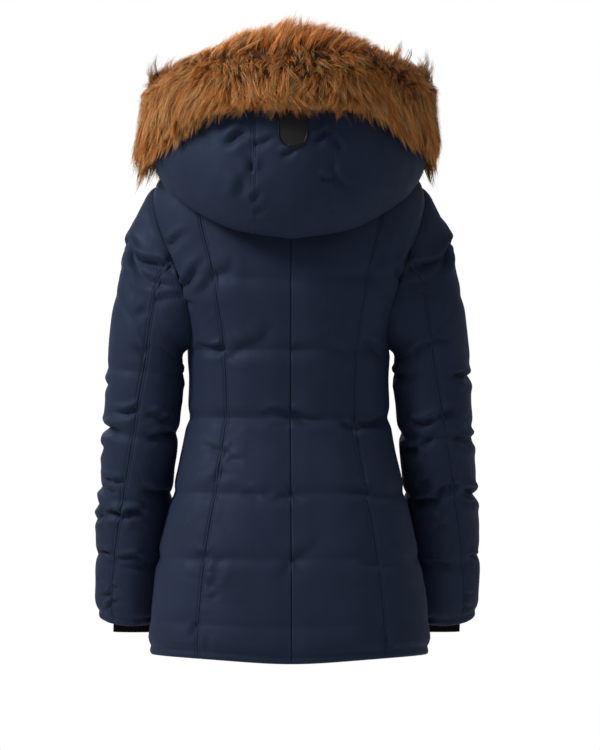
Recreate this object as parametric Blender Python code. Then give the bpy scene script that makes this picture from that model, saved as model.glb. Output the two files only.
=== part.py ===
"""Fur trimmed parka: a hip-length down coat, hollow, in the form it takes when worn.

Metres, +Z up. The back faces +Y, the wearer's left is +X. The origin is the centre of the
neckline, at the height of the points where the shoulder seams meet the neck.

Every wall has a plain inside. Its outer points are raised between the stitch lines, where the
filling sits, and lie on the stitch-level surface along them.
"""
import math
from bisect import bisect_right
from collections import namedtuple

import bmesh
import bpy
from mathutils import Vector

SEAM_GAP = 0.0003       # between two pieces at a seam
LAID_GAP = 0.0005       # between a piece and the one that it lies on
SHELL_WALL = 0.004      # shell, filling and lining along a stitch line
BODY_PUFF = 0.006       # how far a channel's middle stands above its stitch lines
SLEEVE_PUFF = 0.006
HOOD_PUFF = 0.004
CHANNEL_FLATNESS = 4    # even number: the higher, the flatter the channel's middle

# The body: one ring for each quilting line, from the hem to the neck. back_z, side_z and front_z
# are the ring's heights; widest_y is where its half_width is measured; princess_x is the
# distance of the back princess seam from the centre back.
TorsoRing = namedtuple(
    "TorsoRing", "row back_z side_z front_z half_width widest_y back_y front_y princess_x")
TORSO = [
    TorsoRing(0, -0.701, -0.690, -0.701, 0.192, 0.034, 0.150, -0.120, 0.129),
    TorsoRing(1, -0.651, -0.643, -0.651, 0.189, 0.034, 0.150, -0.120, 0.127),
    TorsoRing(2, -0.557, -0.557, -0.557, 0.177, 0.030, 0.142, -0.116, 0.118),
    TorsoRing(3, -0.466, -0.466, -0.466, 0.157, 0.026, 0.124, -0.106, 0.103),
    TorsoRing(4, -0.361, -0.361, -0.361, 0.137, 0.010, 0.100, -0.096, 0.088),
    TorsoRing(5, -0.265, -0.265, -0.265, 0.138, 0.000, 0.111, -0.110, 0.090),
    TorsoRing(6, -0.168, -0.158, -0.175, 0.176, 0.000, 0.122, -0.116, 0.105),
    TorsoRing(7, -0.071, -0.038, -0.105, 0.184, 0.000, 0.106, -0.096, 0.122),
    TorsoRing(8, -0.006, 0.000, -0.075, 0.074, 0.000, 0.064, -0.076, 0.045),
]
BODY_FULLNESS = 2.4     # exponent of the rings: 2 is an ellipse
ARMPIT_ROW = 5
SHOULDER_ROW = 7
NECK_ROW = 8
ARMHOLE_BACK_CUT = 23   # degrees that the armhole reaches behind the side seam, and in front
ARMHOLE_FRONT_CUT = 19
ARMHOLE_FALL = 0.55     # share by which it is cut further in below its middle, and less above
ROWS_IN_CHANNEL = 3
PANEL_COLUMNS = 6
FRONT_COLUMNS = 8

# The front closing: a concealed zip between the fronts, under a placket.
ZIP_HALF_WIDTH = 0.0040
ZIP_THICKNESS = 0.0028
PLACKET_HALF_WIDTH = 0.0275
PLACKET_THICKNESS = 0.0035

# The arm, from the ring below the armpit to the sleeve's end: centres and half sizes.
SleeveRing = namedtuple("SleeveRing", "row x y z half_x half_y")
SLEEVE = [
    SleeveRing(3, 0.1995, 0.002, -0.294, 0.0475, 0.056),
    SleeveRing(4, 0.2060, -0.002, -0.378, 0.0455, 0.053),
    SleeveRing(5, 0.2135, -0.028, -0.462, 0.0445, 0.051),
    SleeveRing(6, 0.2185, -0.058, -0.553, 0.0445, 0.049),
    SleeveRing(7, 0.2185, -0.084, -0.640, 0.0435, 0.047),
]
SLEEVE_TOP_ROW = SLEEVE[0].row
SLEEVE_END_ROW = SLEEVE[-1].row
SLEEVE_ROWS_IN_CHANNEL = 3
TURN_STEP = 18          # degrees between the points that the armhole and the sleeve head share
SLEEVE_COLUMNS = 10     # of each of its two panels, which share the armhole evenly
CAP_EASE = 0.8          # how early the head's stitch lines come along its curve
CAP_SPREAD = 100        # turn from which the head leaves the armhole square to its edge
FULL_CHANNEL = 0.20     # length of the sleeve head's curve from which its channels are full
ARMPIT_GAP = 0.0010     # more room where the sleeve folds down over the body's side
SHOULDER_GAP = 0.0004   # more room at the armhole's narrow top

# The sleeve's seams, in degrees round the arm: 0 outside, 90 behind, 180 inside.
SleeveSeam = namedtuple("SleeveSeam", "row back_turn front_turn")
SLEEVE_SEAM = [
    SleeveSeam(0, 90, -90), SleeveSeam(3, 86, -98), SleeveSeam(5, 70, -106), SleeveSeam(7, 50, -110),
]

# The ribbed cuff: sewn in the sleeve's mouth, then narrowing to the wrist.
CuffRing = namedtuple("CuffRing", "row z_below_end sleeve_share")
CUFF = [
    CuffRing(0, -0.040, 1.0), CuffRing(1, -0.018, 0.35), CuffRing(2, -0.002, 0.0),
    CuffRing(3, 0.024, 0.0),
]
CUFF_SHIFT = -0.004     # the wrist lies towards the arm's inner side
CUFF_HALF_X = 0.0300
CUFF_HALF_Y = 0.0290
CUFF_WALL = 0.0030
CUFF_GAP = 0.0014
CUFF_COLUMNS = 20
CUFF_ROWS = 6

# The hood, lying on the back with its mouth up. Its section in upright planes through the
# neck's axis, at degrees round from the centre back: out and z for each point of the section.
HoodSection = namedtuple(
    "HoodSection", "angle leave_row bottom_out bottom_z bulge_out bulge_z edge_out edge_z")
HOOD = [
    HoodSection(0, 7.05, 0.168, -0.113, 0.212, -0.040, 0.203, 0.085),
    HoodSection(30, 7.05, 0.172, -0.098, 0.211, -0.030, 0.200, 0.080),
    HoodSection(60, 7.15, 0.181, -0.056, 0.203, -0.006, 0.188, 0.062),
    HoodSection(90, 7.30, 0.168, -0.013, 0.184, 0.010, 0.170, 0.046),
    HoodSection(120, 7.50, 0.132, -0.026, 0.148, -0.008, 0.138, 0.022),
    HoodSection(157, 7.70, 0.096, -0.052, 0.110, -0.044, 0.108, -0.026),
]
HOOD_END_ANGLE = HOOD[-1].angle
HOOD_SEAM_X = 0.053     # the centre panel's half width where it shows
HOOD_SEAM_NECK_X = 0.030
HOOD_SEAM_ANGLE = 15    # about where its seams run
HOOD_NECK_GAP = 0.0012
HOOD_MIDDLE_LIFT = 0.0060   # how far the hood's inner layer stands off the coat
HOOD_LEAVE_LIFT = 0.0090
HOOD_ROWS = 15
HOOD_CENTRE_COLUMNS = 6
HOOD_SIDE_COLUMNS = 13

# The bare patch on the hood's centre panel, with a round lower end.
PATCH_HALF_WIDTH = 0.019
PATCH_HEIGHT = 0.052
PATCH_BELOW_EDGE = 0.021
PATCH_THICKNESS = 0.0020
PATCH_COLUMNS = 10
PATCH_ROWS = 5

# The fur: how far it stands beyond the hood's edge, up, out, in, and down over the hood.
FurSection = namedtuple("FurSection", "angle height outward inward drop")
FUR = [
    FurSection(0, 0.108, 0.052, 0.030, 0.026),
    FurSection(30, 0.090, 0.052, 0.030, 0.034),
    FurSection(60, 0.070, 0.048, 0.028, 0.084),
    FurSection(90, 0.066, 0.042, 0.026, 0.066),
    FurSection(120, 0.055, 0.034, 0.024, 0.028),
    FurSection(157, 0.040, 0.026, 0.020, 0.020),
]
# Points of the fur's section, as shares of those four reaches.
FurPoint = namedtuple("FurPoint", "outward_share height_share")
FUR_OUTLINE = [
    FurPoint(-0.75, 0.02), FurPoint(-1.00, 0.28), FurPoint(-0.75, 0.66), FurPoint(-0.10, 0.93),
    FurPoint(0.45, 1.00), FurPoint(0.85, 0.82), FurPoint(1.00, 0.48), FurPoint(0.95, 0.10),
    FurPoint(0.78, -0.80), FurPoint(0.40, -1.00),
]
FUR_SLOT_DEPTH = 0.008  # how far the fur comes down over the hood's edge, on both sides
FUR_SLOT_FLARE = 0.0030

MATERIALS = {
    "navy_shell": ((0.0135, 0.0186, 0.0382, 1.0), 0.72),
    "black_rib": ((0.0030, 0.0028, 0.0030, 1.0), 0.95),
    "black_patch": ((0.0150, 0.0150, 0.0165, 1.0), 0.55),
    "dark_zip": ((0.0100, 0.0115, 0.0170, 1.0), 0.45),
    "brown_fur": ((0.2300, 0.0900, 0.0300, 1.0), 0.80),
}


def row_at(table, place):
    """The table's columns at a place between its rows, on smooth curves through the rows.

    The first column is the place. The curves' slopes are those of the neighbouring rows."""
    last = len(table) - 1
    i = min(max(bisect_right([row[0] for row in table], place) - 1, 0), last - 1)
    low, high = table[i], table[i + 1]
    before, after = table[max(i - 1, 0)], table[min(i + 2, last)]
    span = high[0] - low[0]
    t = (place - low[0]) / span
    values = [place]
    for column in range(1, len(low)):
        slope_low = (high[column] - before[column]) / (high[0] - before[0]) * span
        slope_high = (after[column] - low[column]) / (after[0] - low[0]) * span
        values.append(
            (1 + 2 * t) * (1 - t) ** 2 * low[column] + t * (1 - t) ** 2 * slope_low
            + t * t * (3 - 2 * t) * high[column] + t * t * (t - 1) * slope_high)
    return type(low)(*values)


def channel(share):
    """Height of a filled channel: 0 on its two stitch lines, about 1 between them."""
    return 1 - (2 * share - 1) ** CHANNEL_FLATNESS


def spread(start, end, parts):
    """parts + 1 evenly spaced values from start to end."""
    return [start + (end - start) * i / parts for i in range(parts + 1)]


def surface_normal(point, across, along, low, high, step_across, step_along):
    """Unit normal of point(across, along), on the side of along x across."""
    up, down = min(along + step_along, high), max(along - step_along, low)
    rise = point(across, up) - point(across, down)
    run = point(across + step_across, along) - point(across - step_across, along)
    return rise.cross(run).normalized()


# ---------------------------------------------------------------- body

def torso_point(angle, row):
    """The body's stitch-level surface, angle degrees round from the centre back."""
    ring = row_at(TORSO, row)
    side, back = math.sin(math.radians(angle)), math.cos(math.radians(angle))
    depth = ring.back_y - ring.widest_y if back > 0 else ring.widest_y - ring.front_y
    end_z = ring.back_z if back > 0 else ring.front_z
    reach = ((abs(side) / ring.half_width) ** BODY_FULLNESS
             + (abs(back) / depth) ** BODY_FULLNESS) ** (-1 / BODY_FULLNESS)
    height = ring.side_z + (end_z - ring.side_z) * back * back
    return Vector((reach * side, ring.widest_y + reach * back, height))


def torso_normal(angle, row):
    return surface_normal(torso_point, angle, row, 0, NECK_ROW, 0.5, 0.02)


def torso_angle_at(x, row, front):
    """The angle at which the body's ring is x from the middle, in front or behind."""
    ring = row_at(TORSO, row)
    depth = ring.front_y - ring.widest_y if front else ring.back_y - ring.widest_y
    reach = (1 - (abs(x) / ring.half_width) ** BODY_FULLNESS) ** (1 / BODY_FULLNESS)
    return math.degrees(math.atan2(x, depth * reach))


def armhole_row(turn):
    """The body row of the armhole's edge: turn 0 is the shoulder, 90 behind, 180 the armpit."""
    middle = (SHOULDER_ROW + ARMPIT_ROW) / 2
    return middle + (SHOULDER_ROW - ARMPIT_ROW) / 2 * math.cos(math.radians(turn))


def armhole_angle(turn):
    side, up = math.sin(math.radians(turn)), math.cos(math.radians(turn))
    cut = ARMHOLE_BACK_CUT if side > 0 else ARMHOLE_FRONT_CUT
    return 90 - cut * side * (1 - ARMHOLE_FALL * up)


def side_edge_angle(row, front):
    """The outer edge of a back or front panel: side seam, armhole, then shoulder seam."""
    if not ARMPIT_ROW < row < SHOULDER_ROW:
        return 90
    middle = (SHOULDER_ROW + ARMPIT_ROW) / 2
    turn = math.degrees(math.acos((row - middle) / (SHOULDER_ROW - middle)))
    return armhole_angle(-turn if front else turn)


def body_rows():
    """Grid rows: even below the armhole and above it, and shared with the sleeve's head between."""
    low = spread(0, ARMPIT_ROW, ARMPIT_ROW * ROWS_IN_CHANNEL)
    armhole = [armhole_row(turn) for turn in range(180 - TURN_STEP, 0, -TURN_STEP)]
    return low + armhole + spread(SHOULDER_ROW, NECK_ROW, ROWS_IN_CHANNEL + 1)


def seam_inset(angle, row):
    """Degrees that half a seam gap takes up there."""
    reach = torso_point(angle, row).xy.length
    return math.degrees(SEAM_GAP / 2 / reach)


def panel_edges(panel, row):
    """First and last angle of a body panel on the wearer's left, gaps taken off."""
    princess = torso_angle_at(row_at(TORSO, row).princess_x, row, front=False)
    edges = {
        "back": (0, princess),
        "side_back": (princess, side_edge_angle(row, front=False)),
        "front": (side_edge_angle(row, front=True),
                  torso_angle_at(PLACKET_HALF_WIDTH, row, front=True)),
    }[panel]
    return edges[0] + seam_inset(edges[0], row), edges[1] - seam_inset(edges[1], row)


def body_relief(share, row):
    return BODY_PUFF * channel(share) * channel(row % 1)


def body_panel(name, panel, side, columns):
    """A back, side back or front panel of the wearer's left (side 1) or right (side -1)."""
    def places(share, row):
        first, last = panel_edges(panel, row)
        angle = first + (last - first) * min(share, 1)
        if share > 1:
            angle = torso_angle_at(ZIP_HALF_WIDTH + SEAM_GAP, row, front=True)
        return torso_point(angle, row), torso_normal(angle, row)

    def inner(share, row):
        point, normal = places(share, row)
        return flipped(point - normal * SHELL_WALL, side)

    def outer(share, row):
        point, normal = places(share, row)
        return flipped(point + normal * body_relief(min(share, 1), row), side)

    shares = spread(0, 1, columns) + ([2] if panel == "front" else [])
    return wall(name, shares, body_rows(), inner, outer, "navy_shell")


def flipped(point, side):
    return Vector((point.x * side, point.y, point.z))


def front_strip(name, xs, rows, low, high, material):
    """A strip down the centre front, between two heights over the stitch-level surface."""
    def level(height):
        def point(x, row):
            angle = torso_angle_at(x, row, front=True)
            return torso_point(angle, row) + torso_normal(angle, row) * height
        return point

    return wall(name, xs, rows, level(low), level(high), material)


# ---------------------------------------------------------------- sleeves

def armhole_frame(turn):
    """A point of the armhole's inner edge, the body's normal there, and the way into the hole."""
    def edge(at):
        return torso_point(armhole_angle(at), armhole_row(at))

    normal = torso_normal(armhole_angle(turn), armhole_row(turn))
    along = (edge(turn + 1) - edge(turn - 1)).normalized()
    return edge(turn) - normal * SHELL_WALL, normal, along.cross(normal).normalized()


def arm_ring(turn, row):
    """Stitch-level surface of the sleeve below its head, square to the arm."""
    ring = row_at(SLEEVE, row)
    ahead = row_at(SLEEVE, min(row + 0.05, SLEEVE_END_ROW))
    behind = row_at(SLEEVE, max(row - 0.05, SLEEVE_TOP_ROW))
    axis = Vector((ahead.x - behind.x, ahead.y - behind.y, ahead.z - behind.z)).normalized()
    back = Vector((0, 1, 0))
    back = (back - axis * back.dot(axis)).normalized()
    out = axis.cross(back)
    out = out if out.x > 0 else -out
    angle = math.radians(turn)
    centre = Vector((ring.x, ring.y, ring.z))
    point = centre + out * ring.half_x * math.cos(angle) + back * ring.half_y * math.sin(angle)
    return point, axis


def sleeve_head_length(turn):
    return (arm_ring(turn, SLEEVE_TOP_ROW)[0] - armhole_frame(turn)[0]).length


def cap_square(turn):
    """How nearly square to the armhole's edge the head leaves it: 0 at the shoulder, then up to 1."""
    share = min(1, abs((turn + 180) % 360 - 180) / CAP_SPREAD)
    return share * share * (3 - 2 * share)


def sleeve_inner(turn, row):
    """The sleeve's plain inside. Its head leaves the armhole along the shoulder at the top, and
    square to the body's side at the armpit, and meets the arm on a Bezier curve."""
    if row >= SLEEVE_TOP_ROW:
        point, axis = arm_ring(turn, row)
        centre = row_at(SLEEVE, row)
        inward = (Vector((centre.x, centre.y, centre.z)) - point).normalized()
        return point + inward * SHELL_WALL
    start, normal, into = armhole_frame(turn)
    lift = math.pi / 4 * (1 - math.cos(math.radians(turn)))
    square = cap_square(turn)
    way = (armhole_frame(0)[2] * (1 - square) + into * square).normalized()
    clear = (SHELL_WALL + ARMPIT_GAP) * math.sin(lift) / way.dot(into)
    start = start + into * (SEAM_GAP + clear + SHOULDER_GAP * (1 - square))
    leave = normal * math.sin(lift) + way * math.cos(lift)
    end = sleeve_inner(turn, SLEEVE_TOP_ROW)
    axis = arm_ring(turn, SLEEVE_TOP_ROW)[1]
    length = (end - start).length
    top_side = math.cos(math.radians(turn))
    leave_reach = length * (0.36 - 0.15 * top_side)
    meet_reach = length * (0.47 + 0.07 * top_side)
    t = (max(row, 0) / SLEEVE_TOP_ROW) ** CAP_EASE
    return ((1 - t) ** 3 * start + 3 * t * (1 - t) ** 2 * (start + leave * leave_reach)
            + 3 * t * t * (1 - t) * (end - axis * meet_reach) + t ** 3 * end)


def sleeve_normal(turn, row):
    """The sleeve's normals; at the shoulder its edge lies flush with the body's."""
    normal = surface_normal(sleeve_inner, turn, row, 0, SLEEVE_END_ROW, 1.0, 0.03)
    if row > 0:
        return normal
    square = cap_square(turn)
    return (armhole_frame(turn)[1] * (1 - square) + normal * square).normalized()


def sleeve_panel(name, side, outer_panel):
    """The sleeve's outer or under panel, of the wearer's left (side 1) or right (side -1)."""
    def place(share, row):
        seam = row_at(SLEEVE_SEAM, row)
        first, last = seam.front_turn, seam.back_turn
        if not outer_panel:
            first, last = last, first + 360
        inset = math.degrees(SEAM_GAP / 2 / row_at(SLEEVE, max(row, SLEEVE_TOP_ROW)).half_x)
        return first + inset + (last - first - 2 * inset) * share

    def relief(share, turn, row):
        full = min(1, sleeve_head_length(turn) / FULL_CHANNEL) if row < SLEEVE_TOP_ROW else 1
        return SLEEVE_PUFF * full * channel(share) * channel(row % 1)

    def inner(share, row):
        return flipped(sleeve_inner(place(share, row), row), side)

    def outer(share, row):
        turn = place(share, row)
        height = SHELL_WALL + relief(share, turn, row)
        return flipped(sleeve_inner(turn, row) + sleeve_normal(turn, row) * height, side)

    rows = spread(0, SLEEVE_END_ROW, SLEEVE_END_ROW * SLEEVE_ROWS_IN_CHANNEL)
    return wall(name, spread(0, 1, SLEEVE_COLUMNS), rows, inner, outer, "navy_shell")


def cuff(name, side):
    """The ribbed cuff, from the inside of the sleeve's mouth to the wrist."""
    end = SLEEVE[-1]
    axis = arm_ring(0, SLEEVE_END_ROW)[1]
    channel_length = SLEEVE[-2].z - end.z

    def point(turn, row, depth):
        ring = row_at(CUFF, row)
        angle = math.radians(turn)
        wrist = Vector((end.x, end.y, end.z)) + axis * ring.z_below_end
        wrist += Vector((CUFF_SHIFT + (CUFF_HALF_X - depth) * math.cos(angle),
                         (CUFF_HALF_Y - depth) * math.sin(angle), 0))
        sleeve_row = min(SLEEVE_END_ROW + ring.z_below_end / channel_length, SLEEVE_END_ROW)
        mouth = sleeve_inner(turn, sleeve_row)
        mouth -= sleeve_normal(turn, sleeve_row) * (CUFF_GAP + depth)
        return flipped(wrist.lerp(mouth, ring.sleeve_share), side)

    return wall(name, spread(0, 360, CUFF_COLUMNS), spread(0, CUFF[-1].row, CUFF_ROWS),
                lambda turn, row: point(turn, row, CUFF_WALL),
                lambda turn, row: point(turn, row, 0), "black_rib", ring=True)


# ---------------------------------------------------------------- hood

HoodPoint = namedtuple("HoodPoint", "distance out z")


def hood_profile(angle):
    """The hood's section there, shell side, from the neck seam down and up to its edge."""
    section = row_at(HOOD, abs(angle))
    turned = math.radians(angle)

    def on_coat(row, lift):
        point = torso_point(abs(angle), row)
        normal = torso_normal(abs(angle), row)
        point = point + normal * (BODY_PUFF * channel(row % 1) + lift)
        return point.x * abs(math.sin(turned)) + point.y * math.cos(turned), point.z

    middle_row = (NECK_ROW + section.leave_row) / 2
    points = [
        on_coat(NECK_ROW, HOOD_NECK_GAP),
        on_coat(middle_row, HOOD_MIDDLE_LIFT),
        on_coat(section.leave_row, HOOD_LEAVE_LIFT),
        (section.bottom_out, section.bottom_z),
        (section.bulge_out, section.bulge_z),
        (section.edge_out, section.edge_z),
    ]
    rows, distance = [], 0
    for i, point in enumerate(points):
        distance += math.dist(point, points[i - 1]) if i else 0
        rows.append(HoodPoint(distance, *point))
    return rows


def hood_point(angle, share):
    """The hood's stitch-level surface: share 0 at the neck seam, 1 at its edge."""
    rows = hood_profile(angle)
    point = row_at(rows, rows[-1].distance * share)
    turned = math.radians(angle)
    return Vector((point.out * math.sin(turned), point.out * math.cos(turned), point.z))


def hood_normal(angle, share):
    """Normal on the shell side, which faces the coat near the neck and outwards at the edge."""
    return surface_normal(hood_point, angle, share, 0, 1, 0.5, 0.01)


def hood_seam_angle(share):
    """Half the angle that the centre panel spans."""
    x = HOOD_SEAM_NECK_X + (HOOD_SEAM_X - HOOD_SEAM_NECK_X) * min(1, 2 * share)
    return math.degrees(math.asin(x / hood_point(HOOD_SEAM_ANGLE, share).xy.length))


def hood_angle(panel, across, share):
    """The angle of a grid line of the centre panel (across -1 to 1) or a side (0 to 1)."""
    seam = hood_seam_angle(share)
    inset = math.degrees(SEAM_GAP / 2 / HOOD_SEAM_X)
    if panel == "centre":
        return across * (seam - inset)
    return seam + inset + (HOOD_END_ANGLE - seam - inset) * across


def hood_relief(panel, across, share):
    across_share = (across + 1) / 2 if panel == "centre" else across
    shown = max(0, 2 * share - 1)
    return HOOD_PUFF * channel(across_share) * channel(shown) if shown else 0


def hood_panel(name, panel, side):
    def inner(across, share):
        angle = hood_angle(panel, across, share)
        return flipped(hood_point(angle, share) - hood_normal(angle, share) * SHELL_WALL, side)

    def outer(across, share):
        angle = hood_angle(panel, across, share)
        height = hood_relief(panel, across, share)
        return flipped(hood_point(angle, share) + hood_normal(angle, share) * height, side)

    columns = spread(0, 1, HOOD_SIDE_COLUMNS)
    if panel == "centre":
        columns = spread(-1, 1, HOOD_CENTRE_COLUMNS)
    return wall(name, columns, spread(0, 1, HOOD_ROWS), inner, outer, "navy_shell")


def hood_patch():
    """A bare patch laid on the centre panel, below the fur."""
    length = hood_profile(0)[-1].distance

    def place(turn, down, height):
        x = PATCH_HALF_WIDTH * math.sin(turn)
        column_height = PATCH_HEIGHT - PATCH_HALF_WIDTH * (1 - math.cos(turn))
        share = 1 - (PATCH_BELOW_EDGE + column_height * down) / length
        out = hood_point(0, share).y
        angle = math.degrees(math.asin(x / out))
        across = angle / hood_angle("centre", 1, share)
        height += hood_relief("centre", across, share)
        return hood_point(angle, share) + hood_normal(angle, share) * height

    return wall("hood_patch", spread(-math.pi / 2, math.pi / 2, PATCH_COLUMNS),
                spread(0, 1, PATCH_ROWS),
                lambda turn, down: place(turn, down, LAID_GAP),
                lambda turn, down: place(turn, down, LAID_GAP + PATCH_THICKNESS), "black_patch")


# ---------------------------------------------------------------- fur

def fur_section(angle):
    """The fur's outline there, as (out, up) from the hood's edge on its shell side."""
    reach = row_at(FUR, abs(angle))
    points = []
    for point in FUR_OUTLINE:
        out = point.outward_share * (reach.outward if point.outward_share > 0 else reach.inward)
        up = point.height_share * (reach.height if point.height_share > 0 else reach.drop)
        points.append((out, up))
    inner_face = -SHELL_WALL - LAID_GAP
    points += [
        (LAID_GAP + FUR_SLOT_FLARE, -FUR_SLOT_DEPTH), (LAID_GAP, LAID_GAP),
        (inner_face, LAID_GAP), (inner_face - FUR_SLOT_FLARE, -FUR_SLOT_DEPTH),
    ]
    return points


def fur_trim():
    """The fur's envelope: a band along the hood's edge, slotted over it."""
    sides = [hood_angle("side", across, 1) for across in spread(0, 1, HOOD_SIDE_COLUMNS)]
    centre = [hood_angle("centre", across, 1) for across in spread(-1, 1, HOOD_CENTRE_COLUMNS)]
    stations = [-angle for angle in reversed(sides)] + centre + sides
    corners = len(fur_section(0))

    mesh = bmesh.new()
    bmesh.ops.create_grid(mesh, x_segments=corners, y_segments=len(stations) - 1, size=0.5)
    for vertex in mesh.verts:
        corner = round((vertex.co.x + 0.5) * corners) % corners
        angle = stations[round((vertex.co.y + 0.5) * (len(stations) - 1))]
        edge, out = hood_point(angle, 1), hood_normal(angle, 1)
        up = (hood_point(angle, 1) - hood_point(angle, 0.99)).normalized()
        reach_out, reach_up = fur_section(angle)[corner]
        vertex.co = edge + out * reach_out + up * reach_up
    bmesh.ops.remove_doubles(mesh, verts=mesh.verts, dist=1e-6)
    ends = bmesh.ops.holes_fill(mesh, edges=[e for e in mesh.edges if e.is_boundary], sides=0)
    bmesh.ops.triangulate(mesh, faces=ends["faces"])
    return finished("fur_trim", mesh, "brown_fur")


# ---------------------------------------------------------------- meshes

def wall(name, columns, rows, inner, outer, material, ring=False):
    """A closed wall: a grid on inner(column, row), extruded to outer(column, row)."""
    mesh = bmesh.new()
    bmesh.ops.create_grid(mesh, x_segments=len(columns) - 1, y_segments=len(rows) - 1, size=0.5)
    column_of = mesh.verts.layers.int.new("column")
    row_of = mesh.verts.layers.int.new("row")
    for vertex in mesh.verts:
        vertex[column_of] = round((vertex.co.x + 0.5) * (len(columns) - 1))
        vertex[row_of] = round((vertex.co.y + 0.5) * (len(rows) - 1))
        vertex.co = inner(columns[vertex[column_of]], rows[vertex[row_of]])
    if ring:
        bmesh.ops.remove_doubles(mesh, verts=mesh.verts, dist=1e-6)
    made = bmesh.ops.extrude_face_region(mesh, geom=mesh.faces[:], use_keep_orig=True)
    for vertex in (item for item in made["geom"] if isinstance(item, bmesh.types.BMVert)):
        vertex.co = outer(columns[vertex[column_of]], rows[vertex[row_of]])
    return finished(name, mesh, material)


def finished(name, mesh, material):
    """A smooth-shaded object with outward faces, in the coat's collection."""
    bmesh.ops.recalc_face_normals(mesh, faces=mesh.faces)
    data = bpy.data.meshes.new(name)
    mesh.to_mesh(data)
    mesh.free()
    data.shade_smooth()
    data.set_sharp_from_angle(angle=math.radians(50))
    data.materials.append(material_named(material))
    made = bpy.data.objects.new(name, data)
    bpy.data.collections["fur_trimmed_parka"].objects.link(made)
    return made


def material_named(name):
    if name in bpy.data.materials:
        return bpy.data.materials[name]
    colour, roughness = MATERIALS[name]
    material = bpy.data.materials.new(name)
    material.use_nodes = True
    shader = material.node_tree.nodes["Principled BSDF"]
    shader.inputs["Base Color"].default_value = colour
    shader.inputs["Roughness"].default_value = roughness
    material.diffuse_color = colour
    return material


def build_parka():
    for old in list(bpy.data.objects):
        bpy.data.objects.remove(old)
    collection = bpy.data.collections.new("fur_trimmed_parka")
    bpy.context.scene.collection.children.link(collection)

    rows = body_rows()
    for word, side in (("left", 1), ("right", -1)):
        body_panel(f"back_{word}", "back", side, PANEL_COLUMNS)
        body_panel(f"side_back_{word}", "side_back", side, PANEL_COLUMNS)
        body_panel(f"front_{word}", "front", side, FRONT_COLUMNS)
        sleeve_panel(f"sleeve_outer_{word}", side, outer_panel=True)
        sleeve_panel(f"sleeve_under_{word}", side, outer_panel=False)
        cuff(f"cuff_{word}", side)
        hood_panel(f"hood_{word}", "side", side)
    hood_panel("hood_centre", "centre", 1)
    hood_patch()
    fur_trim()

    zip_low = -ZIP_THICKNESS - LAID_GAP
    front_strip("front_zip", [-ZIP_HALF_WIDTH, ZIP_HALF_WIDTH], rows, zip_low, -LAID_GAP, "dark_zip")
    edge, gap = PLACKET_HALF_WIDTH, ZIP_HALF_WIDTH + SEAM_GAP
    front_strip("front_placket", [-edge, -gap, gap, edge], rows,
                LAID_GAP, LAID_GAP + PLACKET_THICKNESS, "navy_shell")


build_parka()
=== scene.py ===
"""Fur trimmed parka, dressed: down-filled shell panels with their quilting, top-stitching and
creases, knitted cuffs, a bare hood patch, a concealed zip and a long-haired fur ruff.

Metres, +Z up. The back faces +Y and the wearer's left is +X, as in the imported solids. Surfaces are
worked out on whole grids at once: each function here takes and gives arrays of places."""
import math
from collections import namedtuple

import bmesh
import bpy
import numpy as np
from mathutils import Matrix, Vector, noise


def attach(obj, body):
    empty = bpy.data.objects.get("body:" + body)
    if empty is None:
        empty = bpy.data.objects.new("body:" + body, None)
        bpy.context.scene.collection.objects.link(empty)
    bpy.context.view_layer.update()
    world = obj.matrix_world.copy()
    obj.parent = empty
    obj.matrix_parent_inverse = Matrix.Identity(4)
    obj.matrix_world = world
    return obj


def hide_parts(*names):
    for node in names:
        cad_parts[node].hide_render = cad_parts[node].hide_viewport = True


# ---------------------------------------------------------------- numbers used all over

TINY = 1e-12            # the least length that a vector is divided by
SAME_PLACE = 1e-6       # points this close are one
FIRST, LAST = 0, -1     # a panel's first and last row or column
SIDE_WORDS = {1: "left", -1: "right"}

# ---------------------------------------------------------------- sizes shared with the solids

SEAM_GAP = 0.0003       # between two panels at a seam
LAID_GAP = 0.0005       # between a piece and the one that it lies on
SHELL_WALL = 0.004      # shell, filling and lining along a stitch line
BODY_PUFF = 0.006       # how far a channel's middle stands above its stitch lines
SLEEVE_PUFF = 0.006
HOOD_PUFF = 0.004

# The body: a ring for each quilting line, from the hem to the neck. princess_x is the distance of
# the back princess seam from the centre back.
TorsoRing = namedtuple(
    "TorsoRing", "row back_z side_z front_z half_width widest_y back_y front_y princess_x")
TORSO = [TorsoRing(*row) for row in (
    (0, -0.701, -0.690, -0.701, 0.192, 0.034, 0.150, -0.120, 0.129),
    (1, -0.651, -0.643, -0.651, 0.189, 0.034, 0.150, -0.120, 0.127),
    (2, -0.557, -0.557, -0.557, 0.177, 0.030, 0.142, -0.116, 0.118),
    (3, -0.466, -0.466, -0.466, 0.157, 0.026, 0.124, -0.106, 0.103),
    (4, -0.361, -0.361, -0.361, 0.137, 0.010, 0.100, -0.096, 0.088),
    (5, -0.265, -0.265, -0.265, 0.138, 0.000, 0.111, -0.110, 0.090),
    (6, -0.168, -0.158, -0.175, 0.176, 0.000, 0.122, -0.116, 0.105),
    (7, -0.071, -0.038, -0.105, 0.184, 0.000, 0.106, -0.096, 0.122),
    (8, -0.006, 0.000, -0.075, 0.074, 0.000, 0.064, -0.076, 0.045),
)]
BODY_FULLNESS = 2.4     # exponent of the rings: 2 is an ellipse
ARMPIT_ROW = 5
SHOULDER_ROW = 7
NECK_ROW = 8
ARMHOLE_BACK_CUT = 23   # degrees that the armhole reaches behind the side seam, and in front
ARMHOLE_FRONT_CUT = 19
ARMHOLE_FALL = 0.55     # share by which it is cut further in below its middle, and less above

# The front closing: a concealed zip between the fronts, under a placket.
ZIP_HALF_WIDTH = 0.0040
ZIP_THICKNESS = 0.0028
PLACKET_HALF_WIDTH = 0.0275
PLACKET_THICKNESS = 0.0035

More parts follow.
